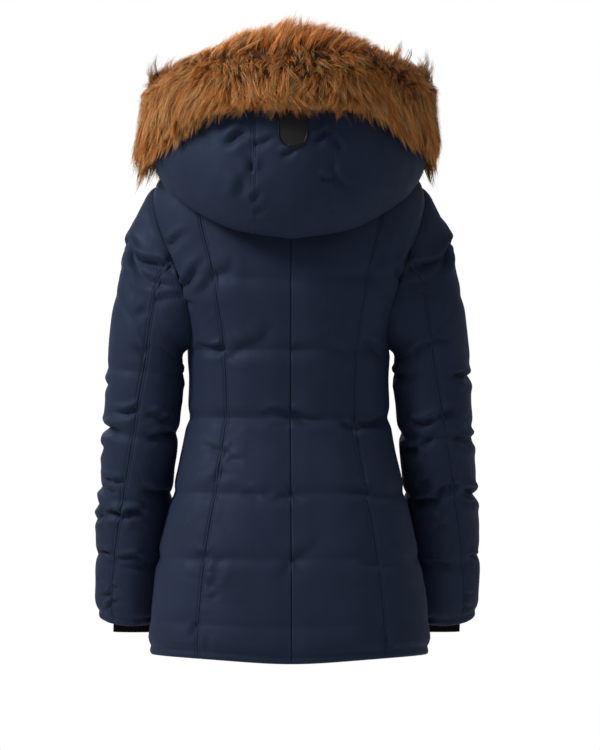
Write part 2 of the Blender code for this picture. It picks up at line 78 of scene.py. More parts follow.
# The arm, from the ring below the armpit to the sleeve's end.
SleeveRing = namedtuple("SleeveRing", "row x y z half_x half_y")
SLEEVE = [
    SleeveRing(3, 0.1995, 0.002, -0.294, 0.0475, 0.056),
    SleeveRing(4, 0.2060, -0.002, -0.378, 0.0455, 0.053),
    SleeveRing(5, 0.2135, -0.028, -0.462, 0.0445, 0.051),
    SleeveRing(6, 0.2185, -0.058, -0.553, 0.0445, 0.049),
    SleeveRing(7, 0.2185, -0.084, -0.640, 0.0435, 0.047),
]
SLEEVE_TOP_ROW = SLEEVE[0].row
SLEEVE_END_ROW = SLEEVE[-1].row
ARM_RADIUS = SLEEVE[0].half_x
ARMHOLE_MIDDLE_ROW = (SHOULDER_ROW + ARMPIT_ROW) / 2
CAP_EASE = 0.8
FULL_CHANNEL = 0.20     # length of the sleeve head's curve from which its channels are full
ARMPIT_GAP = 0.0010
SHOULDER_GAP = 0.0004
CAP_SPREAD = 100        # turn from which the head leaves the armhole square to its edge

# The sleeve's seams, in degrees round the arm: 0 outside, 90 behind, 180 inside.
SleeveSeam = namedtuple("SleeveSeam", "row back_turn front_turn")
SLEEVE_SEAM = [
    SleeveSeam(0.0, 81, -90), SleeveSeam(0.3, 86, -91), SleeveSeam(0.7, 91, -93),
    SleeveSeam(1.2, 95, -95), SleeveSeam(2.0, 92, -96), SleeveSeam(3.0, 86, -98),
    SleeveSeam(4.0, 77, -102), SleeveSeam(5.0, 70, -106), SleeveSeam(6.0, 59, -108),
    SleeveSeam(7.0, 53, -110),
]

CuffRing = namedtuple("CuffRing", "row z_below_end sleeve_share")
CUFF = [
    CuffRing(0, -0.040, 1.0), CuffRing(1, -0.018, 0.35), CuffRing(2, -0.002, 0.0),
    CuffRing(3, 0.024, 0.0),
]
CUFF_SHIFT = -0.004
CUFF_HALF_X = 0.0300
CUFF_HALF_Y = 0.0290
CUFF_WALL = 0.0030
CUFF_GAP = 0.0014
CUFF_END_ROW = 0.09     # the end inside the sleeve is rounded off up to this row
CUFF_END_DROP = 0.0010  # how far it is rounded off
CUFF_END_THINNING = 0.0008
CUFF_LIFT = 0.0001      # of the ribs' tops above the cuff's plain surface

# The hood, lying on the back: its section in upright planes through the neck's axis.
HoodSection = namedtuple(
    "HoodSection", "angle leave_row bottom_out bottom_z bulge_out bulge_z edge_out edge_z")
HOOD = [HoodSection(*row) for row in (
    (0, 7.05, 0.168, -0.113, 0.212, -0.040, 0.203, 0.085),
    (30, 7.05, 0.172, -0.098, 0.211, -0.030, 0.200, 0.080),
    (60, 7.15, 0.181, -0.056, 0.203, -0.006, 0.188, 0.062),
    (90, 7.30, 0.168, -0.013, 0.184, 0.010, 0.170, 0.046),
    (120, 7.50, 0.132, -0.026, 0.148, -0.008, 0.138, 0.022),
    (157, 7.70, 0.096, -0.052, 0.110, -0.044, 0.108, -0.026),
)]
HOOD_END_ANGLE = HOOD[-1].angle
HOOD_SEAM_X = 0.053
HOOD_SEAM_NECK_X = 0.030
HOOD_SEAM_ANGLE = 15
HOOD_NECK_GAP = 0.0012
HOOD_MIDDLE_LIFT = 0.0060
HOOD_LEAVE_LIFT = 0.0090
CHANNEL_FLATNESS = 4

PATCH_HALF_WIDTH = 0.019
PATCH_HEIGHT = 0.052
PATCH_BELOW_EDGE = 0.021
PATCH_THICKNESS = 0.0020

# The fur: how far it stands beyond the hood's edge, up, out, in, and down over the hood.
FurSection = namedtuple("FurSection", "angle height outward inward drop")
FUR = [
    FurSection(0, 0.108, 0.052, 0.030, 0.026),
    FurSection(30, 0.090, 0.052, 0.030, 0.034),
    FurSection(60, 0.070, 0.048, 0.028, 0.084),
    FurSection(90, 0.066, 0.042, 0.026, 0.066),
    FurSection(120, 0.055, 0.034, 0.024, 0.028),
    FurSection(157, 0.040, 0.026, 0.020, 0.020),
]
FurPoint = namedtuple("FurPoint", "outward_share height_share")
FUR_OUTLINE = [
    FurPoint(-0.75, 0.02), FurPoint(-1.00, 0.28), FurPoint(-0.75, 0.66), FurPoint(-0.10, 0.93),
    FurPoint(0.45, 1.00), FurPoint(0.85, 0.82), FurPoint(1.00, 0.48), FurPoint(0.95, 0.10),
    FurPoint(0.78, -0.80), FurPoint(0.40, -1.00),
]
FUR_LAST_KEY = len(FUR_OUTLINE) - 1
FUR_SLOT_DEPTH = 0.008
FUR_SLOT_FLARE = 0.0030

# ---------------------------------------------------------------- the cloth's finer form

GRID_STEP = 0.0045      # between a panel's columns, away from its seams
HOOD_GRID_STEP = 0.0030
FRONT_GRID_STEP = 0.0060
LINING_STEP = 3                 # points of the shell to one of the plainer lining
SEAM_STEPS = np.array([0, 0.8, 1.7, 2.7, 3.3, 3.9, 5.4, 8.0]) / 1000   # distances from a seam
SEAM_LAP = 0.00015              # of two sewn edges, at the bottom of their groove
STITCH_FROM_SEAM = 0.0033       # a top-stitching line runs on each side of a sewn seam
SEAM_ROUND = 0.017              # the filling is full from this far off a hem
SEAM_DENT = 0.28                # share of the filling that rises steeply beside a seam
SEAM_DENT_WIDTH = 0.0035
SEAM_FILL_WIDTH = 0.030         # the rest rises softly over this
SEAM_DIP_WIDTH = 0.0011         # of the cloth's dip at a seam, and under its top-stitching
STITCH_DIP_WIDTH = 0.0007
SEAM_CLEAR = 0.004              # puckers and creases are weaker this close to a seam
SIDE_SEAM_CLEAR = 0.040         # and the fronts' creases this close to their side seam
NARROW_PANEL = 0.05             # SEAM_STEPS shrink with panels narrower than this
CREASE_FLOOR = -0.0033          # the deepest that a crease presses into the wall
CREASE_UPPER_FALL = 0.62        # half widths in which a crease's upper side falls into its trough
CREASE_LOWER_FALL = 1.15        # and in which its lower side comes up again
CREASE_BOW = 0.05               # how far it bows, as a share of its length
CREASE_WAVER = 0.0016           # and how far it wavers
CREASE_WAVER_LENGTH = 0.0065    # length of one waver, divided by 2 pi
CREASE_LIFT = 2.0               # the depths in the tables below are multiplied by this
CREASE_CLEAR = 0.006            # creases fade out over this beside a hem's roll or the armhole
# The cloth pushed up beside a crease: a share of its depth. Place and width are in half widths.
CreaseLip = namedtuple("CreaseLip", "share place width")
CREASE_LIPS = [CreaseLip(0.55, 1.5, 1.1), CreaseLip(0.25, -2.6, 1.2)]
# Kinds of seam: the share of the filling's height at the seam itself, and how deep the cloth dips
# at the seam and under its top-stitching.
SeamKind = namedtuple("SeamKind", "level seam_dip stitch_dip")
TOP_STITCHED = SeamKind(0.60, 0.0007, 0.0008)
PLAIN_SEAM = SeamKind(0.70, 0.0014, 0.0)
SET_IN = SeamKind(0.0, 0.0006, 0.0)
PANEL_SEAMS = {"back": (PLAIN_SEAM, TOP_STITCHED), "side_back": (TOP_STITCHED, SET_IN),
               "front": (SET_IN, SET_IN)}
LINE_HALF_WIDTH = 0.0095        # of the valley over a quilting line
CHANNEL_SWELL = 0.0016
HEM_ROLL = 0.010                # the hem's rolled edge, below its stitching
EDGE_ROUND = 0.0016
BODY_HEM_HEIGHT = 0.62 * BODY_PUFF
SLEEVE_HEM_HEIGHT = 0.55 * SLEEVE_PUFF
# Grid rows at the hems, and which of a panel's rows their stitching follows.
HEM_ROWS = [0, 0.02, 0.05, 0.09, 0.14, 0.20, 0.27, 0.34]
HEM_STITCH_ROW = 5
SLEEVE_HEM_ROWS = np.array([0.15, 0.12, 0.09, 0.065, 0.045, 0.025, 0.01, 0])
SLEEVE_STITCH_ROW = -7
LEFT_OUTLINE_SHARE = 0.35       # of the creases' depth is left in the sleeves' outline
RIGHT_OUTLINE_SHARE = 0.65
HOOD_CREASE_SHARE = 1.3         # the hood's creases are deepened by this
HOOD_SHOWN_FROM = 0.45          # share of the way from the neck seam from which the hood shows
HOOD_STITCHED_FROM = 0.42       # and from which its seams are top-stitched

# Soft unevenness, added up: how high, over what size, and its seed.
Lump = namedtuple("Lump", "height size seed")
BODY_LUMPS = [Lump(0.0011, 0.085, 3), Lump(0.0004, 0.030, 5)]
SLEEVE_LUMPS = [Lump(0.0012, 0.060, 7), Lump(0.0005, 0.024, 8)]
HOOD_LUMPS = [Lump(0.35 * HOOD_PUFF, 0.055, 15), Lump(0.12 * HOOD_PUFF, 0.025, 16)]
CUFF_FOLDS = [Lump(0.0006, 0.020, 17)]
PLACKET_RIPPLE = [Lump(0.0007, 0.035, 19)]
BODY_LINE_CHANGE = [Lump(0.35, 0.060, 11)]      # of a quilting line's depth, as a share
SLEEVE_LINE_CHANGE = [Lump(0.50, 0.045, 13)]
SLEEVE_HEM_CHANGE = [Lump(0.50, 0.012, 9)]

# Puckers along the seams.
BODY_PUCKER = 0.0011
SLEEVE_PUCKER = 0.0012
HOOD_PUCKER = 0.0012
PUCKER_SIZE = 0.011
PUCKER_REACH = 0.020            # how far they run into the panel
PUCKER_STRETCH = 0.35           # share by which they change slower across the seam than along it
PUCKER_CLUSTER = 0.075          # they gather in groups this far apart

STITCH_PITCH = 0.0035
STITCH_LENGTH = 0.0026
THREAD_RADIUS = 0.00026
ZIP_PITCH = 0.0013
CUFF_RIBS = 64
CUFF_RIB = 0.0005               # how far the ribs' hollows lie below their tops, halved
THREAD_LIFT = 0.00008           # of the stitches above the cloth

PATCH_FIELD_SUNK = 0.0004
PATCH_EDGE_SUNK = 0.0006
PATCH_EDGE_WIDTH = 0.0015
PATCH_RIM_RADIUS = 0.0014

# Distances of the placket's points from its edges.
PLACKET_STEPS = np.array([0, 0.25, 0.6, 1.0, 1.6, 2.2, 3.0, 3.8, 4.6, 5.8, 8.0]) / 1000
PLACKET_STITCH_INSET = 0.003
PLACKET_RIPPLE_TOP = 0.0004
ZIP_TAPE = 0.0009               # thickness of a tape
ZIP_COIL = 0.0014               # height of the teeth's middle over the zip's inner face
ZIP_TAPE_EDGE = 0.0006          # of each tape's inner edge from the middle
ZIP_TOOTH_SHIFT = 0.0006        # of each tooth's middle, to the left and the right in turn
ZIP_TOOTH_HALF_WIDTH = 0.0015
ZIP_TOOTH_HALF_HEIGHT = 0.00045
ZIP_TOOTH_HALF_DEPTH = 0.0010

FUR_END_ROUND = 14              # degrees beyond the hood's ends in which the fur closes over
FUR_END_RADIUS = 0.11           # of the arc on which it goes on there
FUR_SKIN_REACH = 0.66           # how much of its envelope the dense underfur takes
FUR_KEY_LENGTH = 0.030          # how far the hair hangs down for each key past the last
FUR_PARTING_KEY = 5.25          # past this key the hair falls outwards and down, before it inwards
FUR_DROOP = 0.016               # how much lower the fur hangs at the hood's sides than its envelope
FUR_TUCK_LEFT = 0.011           # and how much closer to the hood its lower hairs lie there
FUR_TUCK_RIGHT = 0.022
FUR_LOCKS = 10000
FUR_HAIRS_IN_LOCK = 14
FUR_MESHES = 4
# Two numbers in brackets are the least and the most of an even draw. Angles are in degrees.
RUN_DOWN = (0.42, 0.92)         # keys that a lock runs over, past the parting and before it
RUN_UP = (0.45, 0.95)
SPREAD_DOWN = (1.5, 6.0)        # how far its tip lies from its root along the hood's edge
SPREAD_UP = (2.0, 9.0)
LOCK_SWAY = 2.4                 # and how much that varies from lock to lock
LONGER_LEFT = 0.10              # share by which the longest radiating locks stand out further
LONGER_RIGHT = 0.03
CORNER_ANGLE = 58               # the fur's upper corners, where some locks stand up
CORNER_KEY = 4.9
STANDING_SHARE = 0.22
STANDING_REACH = (0.10, 0.42)
GATHER = (0.05, 0.40)           # how far a lock's tips stay apart, as a share of their roots
HAIR_LENGTH = (0.70, 1.06)      # of one hair, as a share of its lock's
HAIR_HALF_WIDTH = (0.00018, 0.00036)
ROOT_REACH = 0.52               # the hairs' roots lie this far out in the fur
STRAY_REACH = (0.03, 0.11)      # and stray hairs' tips this much further than their lock's
TONE_CHANGE = (0.65, 1.45)
RIM_KEY = 3.9                   # the middle of the upper rim, paler partly in the fur's own tone and partly as painted light from above
# Where the fur stands fuller or lies lower than its envelope: angle round the hood and key over the
# fur of the middle, their spreads, and the share added.
FurTuft = namedtuple("FurTuft", "angle key angle_spread key_spread share")
FUR_TUFTS = [FurTuft(*row) for row in (
    (57, 8.6, 17, 1.1, -0.17), (-57, 8.6, 17, 1.1, -0.17), (-92, 7.9, 20, 1.2, -0.34),
    (-118, 8.6, 18, 2.0, -0.30), (62, 4.9, 13, 1.7, -0.26), (-54, 4.4, 12, 1.4, -0.07),
    (88, 6.2, 14, 1.2, 0.10), (-86, 6.0, 10, 1.0, 0.05), (150, 7.0, 16, 4.0, -0.20),
    (-150, 7.0, 18, 4.0, -0.30), (38, 4.2, 16, 1.4, -0.24), (-34, 4.2, 15, 1.4, -0.18),
    (66, 4.8, 4, 1.0, 0.16), (52, 4.4, 3, 0.9, 0.09), (-60, 4.6, 4, 1.0, 0.18),
    (-43, 4.4, 3, 0.8, 0.12), (6, 4.2, 8, 1.0, 0.03),
)]

# Tones, linear.
NAVY = (0.0165, 0.0250, 0.0500)
LINING = (0.0095, 0.0145, 0.0290)
THREAD = (0.0120, 0.0180, 0.0370)
BLACK_KNIT = (0.0045, 0.0042, 0.0045)
RUBBER = (0.0170, 0.0170, 0.0180)
RUBBER_RIM = (0.0060, 0.0060, 0.0065)
TAPE = (0.0090, 0.0100, 0.0150)
TEETH = (0.0110, 0.0115, 0.0130)
GOLD = (0.560, 0.232, 0.062)
AMBER = (0.440, 0.142, 0.028)
CHESTNUT = (0.170, 0.058, 0.014)
BARK = (0.035, 0.015, 0.007)
SOOT = (0.012, 0.010, 0.009)
FAWN = (0.680, 0.390, 0.150)
SAND = (0.740, 0.520, 0.300)

SURROUND_LIGHT = 0.33           # what the white surround gives off
Lamp = namedtuple("Lamp", "name x y z size power")
LAMPS = [Lamp("key_light", 2.25, 1.05, 1.55, 0.8, 68), Lamp("front_light", 0.6, -3.2, 1.6, 2.4, 50)]
LAMP_AIM_Z = -0.3
SENSOR_WIDTH = 36
CAMERA_DISTANCE = 12.0
CAMERA_TURN = 1.7               # degrees
FRAME_HEIGHT = 1.050
FRAME_CENTRE_X = -0.0161
FRAME_CENTRE_Z = -0.301
FLOOR_Z = -1.60

# Creases on the back of the body and the hood: from (x, z) to (end_x, end_z), as seen from behind.
# depth is that of the trough at its start, or at its middle where it isn't rooted in a seam.
Crease = namedtuple("Crease", "x z end_x end_z depth half_width rooted")
BODY_CREASES = [Crease(*row) for row in (
    (-0.066, -0.368, -0.100, -0.376, 0.0040, 0.0055, False),
    (-0.084, -0.371, -0.136, -0.360, 0.0052, 0.0055, False),
    (-0.002, -0.355, -0.066, -0.369, 0.0026, 0.0060, True),
    (0.002, -0.354, 0.050, -0.358, 0.0026, 0.0055, True),
    (0.001, -0.369, 0.030, -0.373, 0.0014, 0.0040, True),
    (0.086, -0.410, 0.124, -0.400, 0.0024, 0.0055, True),
    (0.084, -0.416, 0.060, -0.424, 0.0016, 0.0055, True),
    (0.090, -0.436, 0.116, -0.462, 0.0018, 0.0060, True),
    (0.040, -0.478, 0.066, -0.461, 0.0018, 0.0060, False),
    (0.002, -0.472, 0.034, -0.478, 0.0020, 0.0050, True),
    (-0.002, -0.466, -0.026, -0.474, 0.0014, 0.0050, True),
    (-0.108, -0.463, -0.074, -0.464, 0.0022, 0.0050, True),
    (-0.114, -0.470, -0.142, -0.462, 0.0018, 0.0055, True),
    (0.112, -0.592, 0.090, -0.562, 0.0016, 0.0050, True),
    (0.108, -0.599, 0.126, -0.572, 0.0018, 0.0050, True),
    (0.110, -0.610, 0.098, -0.590, 0.0013, 0.0040, True),
    (0.114, -0.552, 0.134, -0.546, 0.0018, 0.0050, True),
    (0.108, -0.575, 0.092, -0.546, 0.0016, 0.0055, True),
    (-0.002, -0.561, -0.050, -0.514, 0.0013, 0.0100, True),
    (0.002, -0.566, 0.030, -0.600, 0.0010, 0.0090, True),
    (-0.121, -0.563, -0.084, -0.568, 0.0018, 0.0055, True),
    (-0.124, -0.566, -0.156, -0.560, 0.0018, 0.0055, True),
    (0.116, -0.662, 0.106, -0.688, 0.0013, 0.0040, False),
    (0.124, -0.640, 0.136, -0.668, 0.0016, 0.0050, False),
    (-0.128, -0.656, -0.140, -0.684, 0.0018, 0.0050, False),
    (0.172, -0.122, 0.146, -0.176, 0.0058, 0.0060, False),
    (0.152, -0.180, 0.112, -0.128, 0.0048, 0.0056, True),
    (0.134, -0.192, 0.084, -0.140, 0.0022, 0.0100, False),
    (0.165, -0.118, 0.134, -0.096, 0.0034, 0.0050, True),
    (0.150, -0.200, 0.122, -0.196, 0.0026, 0.0045, True),
    (0.082, -0.273, 0.018, -0.232, 0.0016, 0.0110, False),
    (0.092, -0.262, 0.118, -0.271, 0.0026, 0.0045, True),
    (0.090, -0.160, 0.078, -0.128, 0.0014, 0.0060, True),
    (0.092, -0.266, 0.134, -0.259, 0.0026, 0.0055, True),
    (0.086, -0.276, 0.048, -0.246, 0.0016, 0.0080, True),
    (-0.002, -0.262, -0.040, -0.268, 0.0012, 0.0070, True),
    (-0.104, -0.252, -0.138, -0.286, 0.0028, 0.0060, True),
    (-0.172, -0.116, -0.150, -0.170, 0.0044, 0.0060, False),
    (-0.158, -0.176, -0.128, -0.132, 0.0040, 0.0056, True),
    (-0.140, -0.196, -0.096, -0.150, 0.0020, 0.0100, False),
    (-0.086, -0.280, -0.030, -0.246, 0.0013, 0.0110, False),
    (-0.112, -0.150, -0.126, -0.120, 0.0014, 0.0060, True),
)]
HOOD_CREASES = [Crease(*row) for row in (
    (0.098, 0.016, 0.060, 0.040, 0.0030, 0.0055, False),
    (0.053, 0.018, 0.012, 0.030, 0.0018, 0.0045, True),
    (0.022, 0.001, -0.008, 0.012, 0.0018, 0.0045, False),
    (-0.024, 0.020, -0.054, 0.040, 0.0024, 0.0045, False),
    (-0.058, 0.032, -0.068, 0.004, 0.0020, 0.0045, False),
    (-0.034, -0.030, -0.058, -0.028, 0.0018, 0.0040, False),
    (-0.056, -0.026, -0.090, -0.044, 0.0018, 0.0060, True),
    (0.054, -0.060, 0.042, -0.040, 0.0018, 0.0045, True),
    (0.053, -0.078, 0.030, -0.066, 0.0018, 0.0045, True),
    (0.054, -0.020, 0.066, 0.006, 0.0018, 0.0045, True),
    (0.053, -0.094, 0.072, -0.090, 0.0016, 0.0045, True),
    (0.076, -0.062, 0.070, -0.020, 0.0016, 0.0090, False),
    (-0.053, -0.070, -0.070, -0.082, 0.0014, 0.0050, True),
)]
# Creases of each sleeve: turn in degrees round the arm, 0 outside, 90 behind and 180 inside.
ArmCrease = namedtuple("ArmCrease", "turn z end_turn end_z depth half_width rooted")
CAP_FOLD = [
    ArmCrease(112, -0.166, -24, -0.080, 0.0070, 0.0056, False),
    ArmCrease(96, -0.178, 30, -0.122, 0.0030, 0.0050, True),
]
LEFT_ARM_CREASES = CAP_FOLD + [ArmCrease(*row) for row in (
    (81, -0.350, 22, -0.350, 0.0034, 0.0050, True),
    (92, -0.353, 128, -0.365, 0.0026, 0.0050, False),
    (116, -0.366, 146, -0.356, 0.0028, 0.0045, False),
    (-40, -0.374, 62, -0.382, 0.0058, 0.0055, False),
    (94, -0.388, 170, -0.382, 0.0040, 0.0050, False),
    (-6, -0.443, 60, -0.452, 0.0034, 0.0050, False),
    (48, -0.453, 74, -0.444, 0.0024, 0.0045, False),
    (4, -0.452, 64, -0.467, 0.0030, 0.0045, False),
    (92, -0.460, 172, -0.468, 0.0034, 0.0055, False),
    (-30, -0.514, 44, -0.493, 0.0050, 0.0050, False),
    (36, -0.492, 78, -0.498, 0.0046, 0.0050, False),
    (66, -0.498, 110, -0.486, 0.0046, 0.0050, False),
    (10, -0.544, 60, -0.555, 0.0030, 0.0035, False),
    (58, -0.555, 110, -0.553, 0.0026, 0.0035, False),
    (18, -0.586, 44, -0.590, 0.0020, 0.0035, True),
    (52, -0.604, 24, -0.608, 0.0022, 0.0035, True),
    (54, -0.596, 74, -0.600, 0.0018, 0.0035, True),
    (53, -0.620, 34, -0.626, 0.0022, 0.0035, True),
    (55, -0.616, 72, -0.622, 0.0020, 0.0035, True),
    (88, -0.212, 60, -0.220, 0.0016, 0.0055, True),
    (94, -0.196, 130, -0.182, 0.0026, 0.0060, True),
    (90, -0.268, 60, -0.262, 0.0018, 0.0060, True),
)]
RIGHT_ARM_CREASES = CAP_FOLD + [ArmCrease(*row) for row in (
    (104, -0.188, 70, -0.180, 0.0016, 0.0060, False),
    (150, -0.228, 108, -0.204, 0.0034, 0.0060, True),
    (128, -0.270, 84, -0.250, 0.0028, 0.0055, False),
    (92, -0.250, 60, -0.255, 0.0026, 0.0045, False),
    (180, -0.300, 112, -0.300, 0.0026, 0.0055, True),
    (74, -0.299, -30, -0.297, 0.0054, 0.0055, False),
    (140, -0.367, 86, -0.360, 0.0044, 0.0050, False),
    (94, -0.362, 56, -0.342, 0.0036, 0.0050, False),
    (74, -0.387, -24, -0.386, 0.0058, 0.0060, False),
    (168, -0.402, 118, -0.398, 0.0042, 0.0055, False),
    (124, -0.400, 98, -0.386, 0.0034, 0.0045, False),
    (134, -0.446, 108, -0.445, 0.0018, 0.0045, False),
    (116, -0.468, 78, -0.450, 0.0040, 0.0050, False),
    (84, -0.451, 60, -0.453, 0.0030, 0.0045, False),
    (66, -0.455, -30, -0.469, 0.0062, 0.0060, False),
    (160, -0.476, 92, -0.470, 0.0042, 0.0050, False),
    (64, -0.471, 14, -0.482, 0.0024, 0.0040, False),
    (106, -0.507, 84, -0.506, 0.0016, 0.0040, False),
    (122, -0.559, 74, -0.562, 0.0024, 0.0040, False),
    (50, -0.554, 6, -0.554, 0.0030, 0.0040, False),
    (56, -0.604, 32, -0.608, 0.0018, 0.0035, True),
    (54, -0.622, 30, -0.626, 0.0020, 0.0035, True),
)]
QuiltLine = namedtuple("QuiltLine", "row strength")     # how deep each quilting line lies
SLEEVE_LINES = [
    QuiltLine(0, 0.2), QuiltLine(1, 0.04), QuiltLine(2, 0.10), QuiltLine(3, 0.28),
    QuiltLine(4, 0.55), QuiltLine(5, 0.45), QuiltLine(6, 0.38), QuiltLine(7, 0.20),
]
BODY_LINES = [
    QuiltLine(0, 0.0), QuiltLine(1, 0.22), QuiltLine(2, 0.62), QuiltLine(3, 0.75),
    QuiltLine(4, 1.0), QuiltLine(5, 0.72), QuiltLine(6, 0.55), QuiltLine(7, 0.40),
    QuiltLine(8, 0.0),
]
BODY_LINE_MIDDLE = 0.32         # a quilting line's depth halfway between seams, as a share
BODY_LINE_NEAR_SEAM = 0.030     # it deepens to its full depth within this of a seam

# ---------------------------------------------------------------- surfaces

def smooth(keys, values, place):
    """values at a place between keys, on smooth curves through them."""
    place = np.asarray(place, float)
    keys = np.broadcast_to(keys, place.shape + np.shape(keys)[-1:])
    values = np.broadcast_to(values, place.shape + np.shape(values)[-2:])
    last = keys.shape[-1] - 1
    low = np.clip((keys <= place[..., None]).sum(-1) - 1, 0, last - 1)

    def key(i):
        return np.take_along_axis(keys, i[..., None], -1)

    def value(i):
        return np.take_along_axis(values, i[..., None, None], -2)[..., 0, :]

    before, high, after = np.maximum(low - 1, 0), low + 1, np.minimum(low + 2, last)
    span = key(high) - key(low)
    t = (place[..., None] - key(low)) / span
    slope_low = (value(high) - value(before)) / (key(high) - key(before)) * span
    slope_high = (value(after) - value(low)) / (key(after) - key(low)) * span
    return ((1 + 2 * t) * (1 - t) ** 2 * value(low) + t * (1 - t) ** 2 * slope_low
            + t * t * (3 - 2 * t) * value(high) + t * t * (t - 1) * slope_high)


def row_at(table, place):
    """The table's columns at places between its rows; the first column is the place."""
    rows = np.array(table, float)
    columns = smooth(rows[:, 0], rows[:, 1:], place)
    return type(table[0])(np.asarray(place, float), *np.moveaxis(columns, -1, 0))


def channel(share):
    """Height of a filled channel: 0 on its two stitch lines, about 1 between them."""
    return 1 - (2 * share - 1) ** CHANNEL_FLATNESS


def ease(share):
    """0 to 1 without a corner."""
    share = np.clip(share, 0, 1)
    return share * share * (3 - 2 * share)


def quarter_round(share):
    """0 to 1 as a quarter circle: upright at 0, level at 1."""
    return np.sqrt(np.clip(1 - (1 - np.clip(share, 0, 1)) ** 2, 0, 1))


def bell(distance, width, power=2):
    """1 at no distance, dying away over the width."""
    return np.exp(-abs(distance / width) ** power)


def turned(angle):
    """An angle's sine and cosine: how far it points sideways, and how far ahead."""
    return np.sin(np.radians(angle)), np.cos(np.radians(angle))


def from_zero(turn):
    """How many degrees a turn is from 0, the short way round."""
    return abs((turn + 180) % 360 - 180)


def points(x, y, z):
    return np.stack(np.broadcast_arrays(x, y, z), axis=-1)


def unit(vectors):
    return vectors / np.maximum(np.linalg.norm(vectors, axis=-1, keepdims=True), TINY)


def dot(a, b):
    return (a * b).sum(-1, keepdims=True)


def surface_normal(surface, across, along, low, high, step_across, step_along):
    """Unit normals of surface(across, along), on the side of along x across."""
    up, down = np.minimum(along + step_along, high), np.maximum(along - step_along, low)
    rise = surface(across, up) - surface(across, down)
    run = surface(across + step_across, along) - surface(across - step_across, along)
    return unit(np.cross(rise, run))


def uneven(places, size, seed):
    """Smooth noise from about -1 to 1 that changes over size metres."""
    flat = (places / size).reshape(-1, 3) + (seed * 7.31, seed * 3.17, seed * 5.53)
    made = np.array([noise.noise(place) for place in flat.tolist()])
    return 1.6 * made.reshape(places.shape[:-1])


def lumpy(places, lumps):
    return sum(lump.height * uneven(places, lump.size, lump.seed) for lump in lumps)


def lengths_along(grid, axis):
    """Distance of each point of a grid from its first row or column, along the grid."""
    steps = np.linalg.norm(np.diff(grid, axis=axis), axis=-1)
    start = np.zeros_like(np.take(steps, [0], axis))
    return np.cumsum(np.concatenate([start, steps], axis), axis)


# ---------------------------------------------------------------- what every panel has

def seam_spaced(width, middle_columns):
    """Shares of the width for a grid's columns: SEAM_STEPS from each edge, then even."""
    near = SEAM_STEPS * np.minimum(1, width / NARROW_PANEL)[:, None] / width[:, None]
    even = np.linspace(0, 1, middle_columns + 2)[1:-1]
    middle = near[:, -1:] + (1 - 2 * near[:, -1:]) * even
    return np.concatenate([near, middle, 1 - near[:, ::-1]], axis=1)


def panel_grid(surface, first, last, rows, step, samples=13):
    """A panel's grid from its first edge to its last: each point's share of the way across, its
    row, and its place across the surface. The width is measured at a few samples."""
    spans = first[:, None] + (last - first)[:, None] * np.linspace(0, 1, samples)
    width = lengths_along(surface(spans, rows[:, None]), 1)[:, -1]
    share = seam_spaced(width, round((width.max() - 2 * SEAM_STEPS[-1]) / step))
    row = np.repeat(rows[:, None], share.shape[1], 1)
    return share, row, first[:, None] + (last - first)[:, None] * share


def stitch_column(share, end):
    """The grid column that runs where the top-stitching does, from the first or the last edge."""
    near = int(np.argmin(abs(SEAM_STEPS - STITCH_FROM_SEAM)))
    return near if end == FIRST else share.shape[1] - 1 - near


def seam_height(distance, kind):
    """(dip, filling) at a distance from a seam: how deep the cloth dips at the seam and its
    stitching, and the share of the filling's height that is reached."""
    dip = kind.seam_dip * bell(distance, SEAM_DIP_WIDTH)
    dip += kind.stitch_dip * bell(distance - STITCH_FROM_SEAM, STITCH_DIP_WIDTH)
    risen = SEAM_DENT * quarter_round(distance / SEAM_DENT_WIDTH) \
        + (1 - SEAM_DENT) * ease(distance / SEAM_FILL_WIDTH)
    return dip, kind.level + (1 - kind.level) * risen


def puckers(along, distance, seed):
    """Little folds square to a seam, in clusters, dying away from it."""
    place = points(along, distance * PUCKER_STRETCH, np.full_like(along, seed))
    cluster = np.clip(0.35 + 0.9 * uneven(place, PUCKER_CLUSTER, seed + 1), 0, 1.3)
    return uneven(place, PUCKER_SIZE, seed) * cluster * bell(distance, PUCKER_REACH, 1) \
        * ease(distance / SEAM_CLEAR)


def pressed(u, v, creases, wrap=None):
    """How far the creases move the cloth out at surface coordinates u, v: down in each trough and
    up a little beside it. wrap is the length after which u comes round again."""
    total = np.zeros_like(u)
    for start_u, start_v, end_u, end_v, depth, half_width, rooted in creases:
        du, dv = u - start_u, v - start_v
        if wrap:
            du = (du + wrap / 2) % wrap - wrap / 2
        length = math.hypot(end_u - start_u, end_v - start_v)
        cu, cv = (end_u - start_u) / length, (end_v - start_v) / length
        t = (du * cu + dv * cv) / length
        bow = CREASE_BOW * length * np.sin(math.pi * np.clip(t, 0, 1))
        bow += CREASE_WAVER * np.sin(t * length / CREASE_WAVER_LENGTH + 40 * start_v)
        off = (dv * cu - du * cv) - bow
        fade = ease((t + 0.08) / 0.12) * ease((1 - t) / 0.80) if rooted else \
            ease(t / 0.34) * ease((1 - t) / 0.34)
        side = off * (1 if cu >= 0 else -1) / half_width
        lips = sum(lip.share * bell(side - lip.place, lip.width) for lip in CREASE_LIPS)
        trough = bell(side, np.where(side > 0, CREASE_UPPER_FALL, CREASE_LOWER_FALL), 1.5)
        total += CREASE_LIFT * depth * fade * (lips - trough)
    return total


